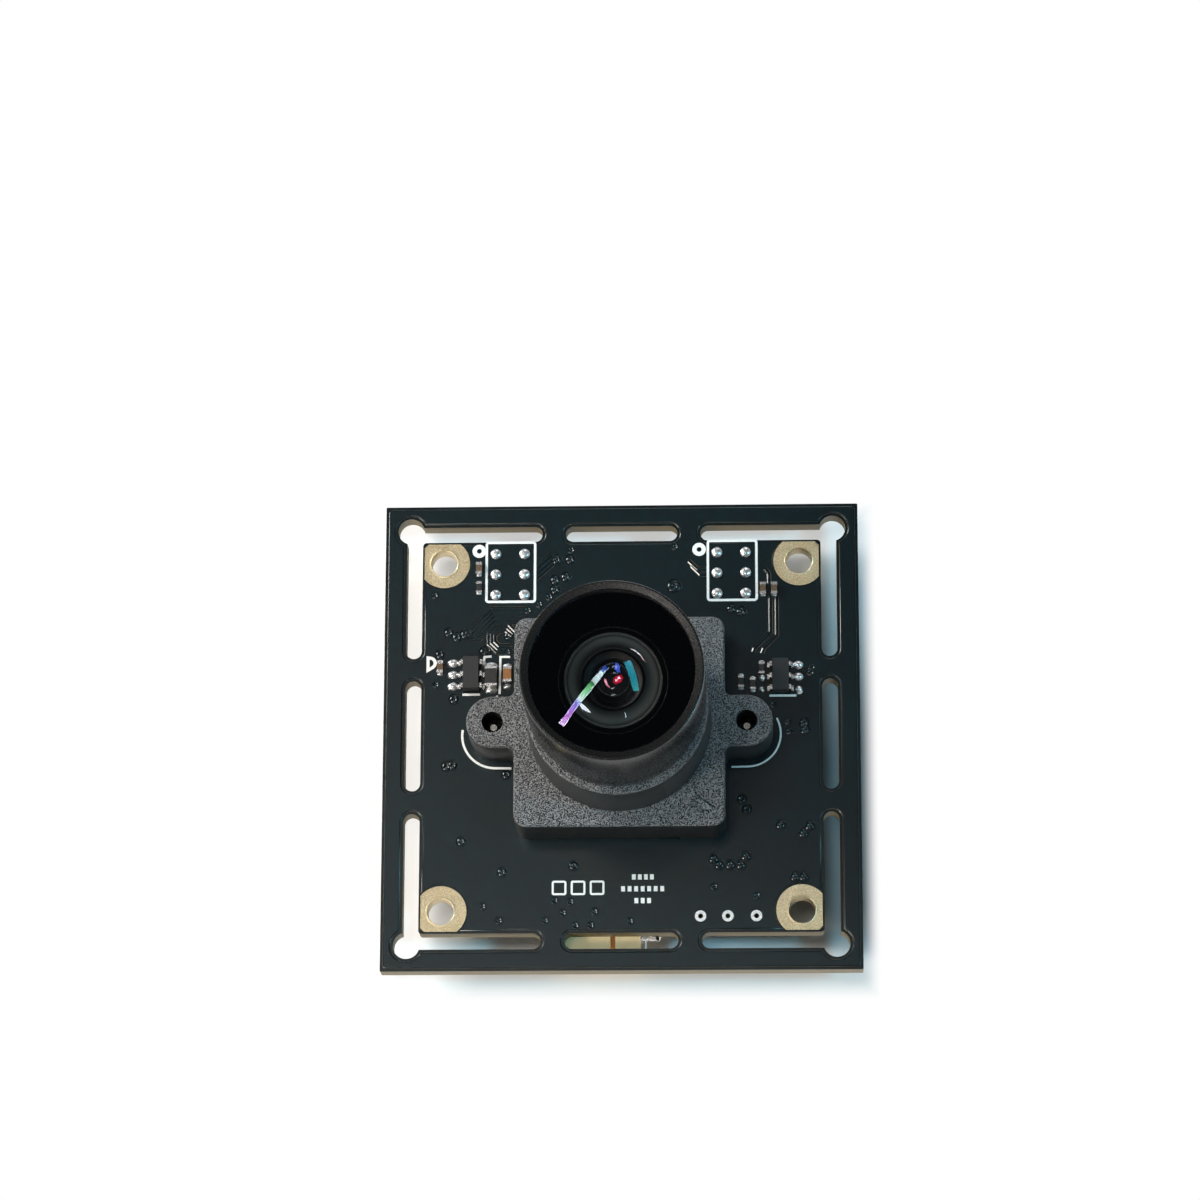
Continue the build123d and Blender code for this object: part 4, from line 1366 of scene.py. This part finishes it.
for name, (around, up, far, (wide, deep), level, tint) in panels.items():
    finish = Finish(name, "ShaderNodeEmission")
    finish.set(Color=tint, Strength=level * math.pi * far**2 / (wide * deep))
    clear = finish.add("ShaderNodeBsdfTransparent")
    finish.blend(finish.ray("Singular"), finish.surface, clear)
    corners = [(x * wide / 2, y * deep / 2, 0) for x, y in ((-1, -1), (-1, 1), (1, 1), (1, -1))]
    mesh = plainMesh(name, corners, [(0, 1, 2, 3)])
    mesh.transform(lampPlace(around, up, far))
    panel = stagePiece(name, mesh, finish.material)
    panel.visible_camera = False
    panel.visible_shadow = False
print("lamps and panels:", len(lamps), len(panels))


# Camera, at the photograph's place
cameraLook = {
    "place": (11.976, -81.861, 344.199),
    "turn": (15.17796, 2.25761, 0.11644),
    "lens": 132.812,
    "sensor": 36.0,
}
cameraData = bpy.data.cameras.new("camera")
cameraData.lens = cameraLook["lens"]
cameraData.sensor_width = cameraLook["sensor"]
cameraData.clip_start = 1 * mm
camera = addObject("camera", cameraData)
camera.location = Vector(cameraLook["place"]) * mm
camera.rotation_euler = Euler([math.radians(angle) for angle in cameraLook["turn"]], "XYZ")
bpy.context.scene.camera = camera

# Cards overhead: each one's mirror image in the front glass is drawn there in millimetres from the axis
# Each card: the line down its middle, its width at each point, and its screen colours along the line
cards = {
    "streak": {
        "line": ((-0.36, 0.12), (-1.45, -1.2), (-2.6, -2.65), (-3.75, -4.2)), "wide": (0.3, 0.42, 0.44, 0.42),
        "stops": (
            (0.0, (20, 40, 120)), (0.11, (60, 90, 170)), (0.14, (225, 235, 225)), (0.3, (190, 200, 190)),
            (0.31, (60, 90, 60)), (0.36, (80, 160, 80)), (0.5, (150, 210, 150)), (0.6, (225, 235, 225)),
            (0.66, (110, 110, 190)), (0.85, (200, 120, 200)), (1.0, (240, 200, 235)),
        ),
    },
    "streak_edge": {
        "line": ((-0.14, 0.12), (-1.2, -1.22), (-2.12, -2.4)), "wide": (0.06, 0.1, 0.06),
        "stops": ((0.0, (90, 120, 120)), (0.2, (225, 240, 232)), (1.0, (220, 235, 225))),
    },
    "streak_left_edge": {
        "line": ((-2.72, -2.55), (-3.93, -4.08)), "wide": (0.05, 0.07),
        "stops": ((0.0, (235, 215, 240)), (1.0, (255, 235, 250))),
    },
    "streak_right_edge": {
        "line": ((-2.46, -2.72), (-3.55, -4.3)), "wide": (0.05, 0.07),
        "stops": ((0.0, (235, 215, 240)), (1.0, (255, 235, 250))),
    },
    "teal_patch": {
        "line": ((1.2, 0.53), (1.55, -0.42), (1.74, -1.12), (1.86, -1.76)), "wide": (0.5, 0.52, 0.5, 0.42),
        "stops": ((0.0, (50, 140, 150)), (0.4, (30, 122, 128)), (1.0, (45, 140, 132))),
    },
    "blue_spot": {
        "line": ((0.38, 0.4), (0.45, 0.0), (0.56, -0.38)), "wide": (0.22, 0.42, 0.18),
        "stops": ((0.0, (30, 60, 150)), (0.5, (70, 96, 190)), (1.0, (40, 60, 160))),
    },
    "red_halo": {
        "line": ((0.16, -1.14), (0.5, -0.88), (0.84, -0.66)), "wide": (0.3, 0.56, 0.3),
        "stops": ((0.0, (120, 8, 22)), (0.5, (205, 20, 50)), (1.0, (150, 8, 30))),
    },
    "red_core": {
        "line": ((0.3, -1.04), (0.64, -0.7)), "wide": (0.14, 0.2),
        "stops": ((0.0, (255, 205, 212)), (1.0, (255, 225, 228))),
    },
    "pink_streak": {
        "line": ((-0.5, -0.82), (-0.38, -1.14), (-0.14, -1.48)), "wide": (0.14, 0.2, 0.06),
        "stops": ((0.0, (225, 50, 80)), (0.5, (255, 180, 190)), (1.0, (215, 40, 70))),
    },
    "white_crescent": {
        "line": ((-2.42, -2.6), (-2.05, -3.0), (-1.5, -3.4)), "wide": (0.1, 0.32, 0.06),
        "stops": ((0.0, (235, 240, 240)), (1.0, (255, 245, 235))),
    },
    "thin_crescent": {
        "line": ((1.46, 1.5), (2.02, 1.16), (2.52, 0.5)), "wide": (0.05, 0.11, 0.04),
        "stops": ((0.0, (190, 170, 160)), (0.5, (245, 230, 225)), (1.0, (210, 110, 110))),
    },
    "small_tick": {
        "line": ((1.0, -3.42), (1.12, -3.72)), "wide": (0.12, 0.07),
        "stops": ((0.0, (215, 215, 215)), (1.0, (180, 180, 180))),
    },
}
cardLook = {
    "height": 330.0,
    "strength": 27.0,  # the front glass returns about a twelfth
}


def cardSpot(place):  # where the camera's ray, mirrored in the front glass there, meets the cards' height
    x, y = place
    radius, bulge = glassSizes["front_element"]["crown"]
    curve = (radius**2 + bulge**2) / (2 * bulge)
    rise = math.sqrt(curve**2 - x * x - y * y)
    surface = Vector((x, y, boardTop + glassSizes["front_element"]["rimTop"] + rise - (curve - bulge)))
    normal = Vector((x, y, rise)).normalized()
    ray = (Vector(cameraLook["place"]) - surface).normalized()
    out = 2 * normal.dot(ray) * normal - ray
    return surface + out * ((cardLook["height"] - surface.z) / out.z)


def smoothLine(points, steps):  # a flowing line through the points
    line = []
    for i in range(len(points) - 1):
        a, b = points[max(i - 1, 0)], points[i]
        c, d = points[i + 1], points[min(i + 2, len(points) - 1)]
        for step in range(steps):
            t = step / steps
            bend = (2 * a - 5 * b + 4 * c - d) * t**2 + (3 * b - a - 3 * c + d) * t**3
            line.append(0.5 * (2 * b + (c - a) * t + bend))
    return [*line, points[-1]]


def cardFinish(name, stops):
    finish = Finish(name, "ShaderNodeEmission")
    along = finish.parts(finish.add("ShaderNodeTexCoord", out="UV"))[0]
    behind = finish.add("ShaderNodeLightPath", out="Transmission Depth").least(1.0)
    seen = finish.ray("Singular") * (1 - behind)  # only the front glass's polished face sees the card
    lightStops = [(place, srgb(*colour)) for place, colour in stops]
    colour = finish.add("ShaderNodeValToRGB", {"stops": lightStops}, {0: along})
    finish.set(Color=colour, Strength=seen * cardLook["strength"])
    return finish.material


def makeCard(name, card):
    line = smoothLine([Vector((*place, wide)) for place, wide in zip(card["line"], card["wide"])], 8)
    verts, faces = [], []
    for i, spot in enumerate(line):
        way = (line[min(i + 1, len(line) - 1)] - line[max(i - 1, 0)]).to_2d().normalized()
        across = Vector((-way.y, way.x)) * spot.z / 2
        verts += [cardSpot(spot.to_2d() - across), cardSpot(spot.to_2d() + across)]
        if i > 0:
            faces.append((2 * i - 2, 2 * i, 2 * i + 1, 2 * i - 1))
    mesh = plainMesh(name, verts, faces)
    uv = mesh.uv_layers.new(name="along")
    for loop in mesh.loops:
        uv.data[loop.index].uv = (loop.vertex_index // 2 / (len(line) - 1), loop.vertex_index % 2)
    piece = stagePiece(name + "_card", mesh, cardFinish(name + "_glow", card["stops"]))
    piece.visible_camera = False
    piece.visible_diffuse = False
    piece.visible_shadow = False


for name, card in cards.items():
    makeCard(name, card)
print("cards made:", len(cards))

bpy.context.scene.view_settings.view_transform = "Standard"
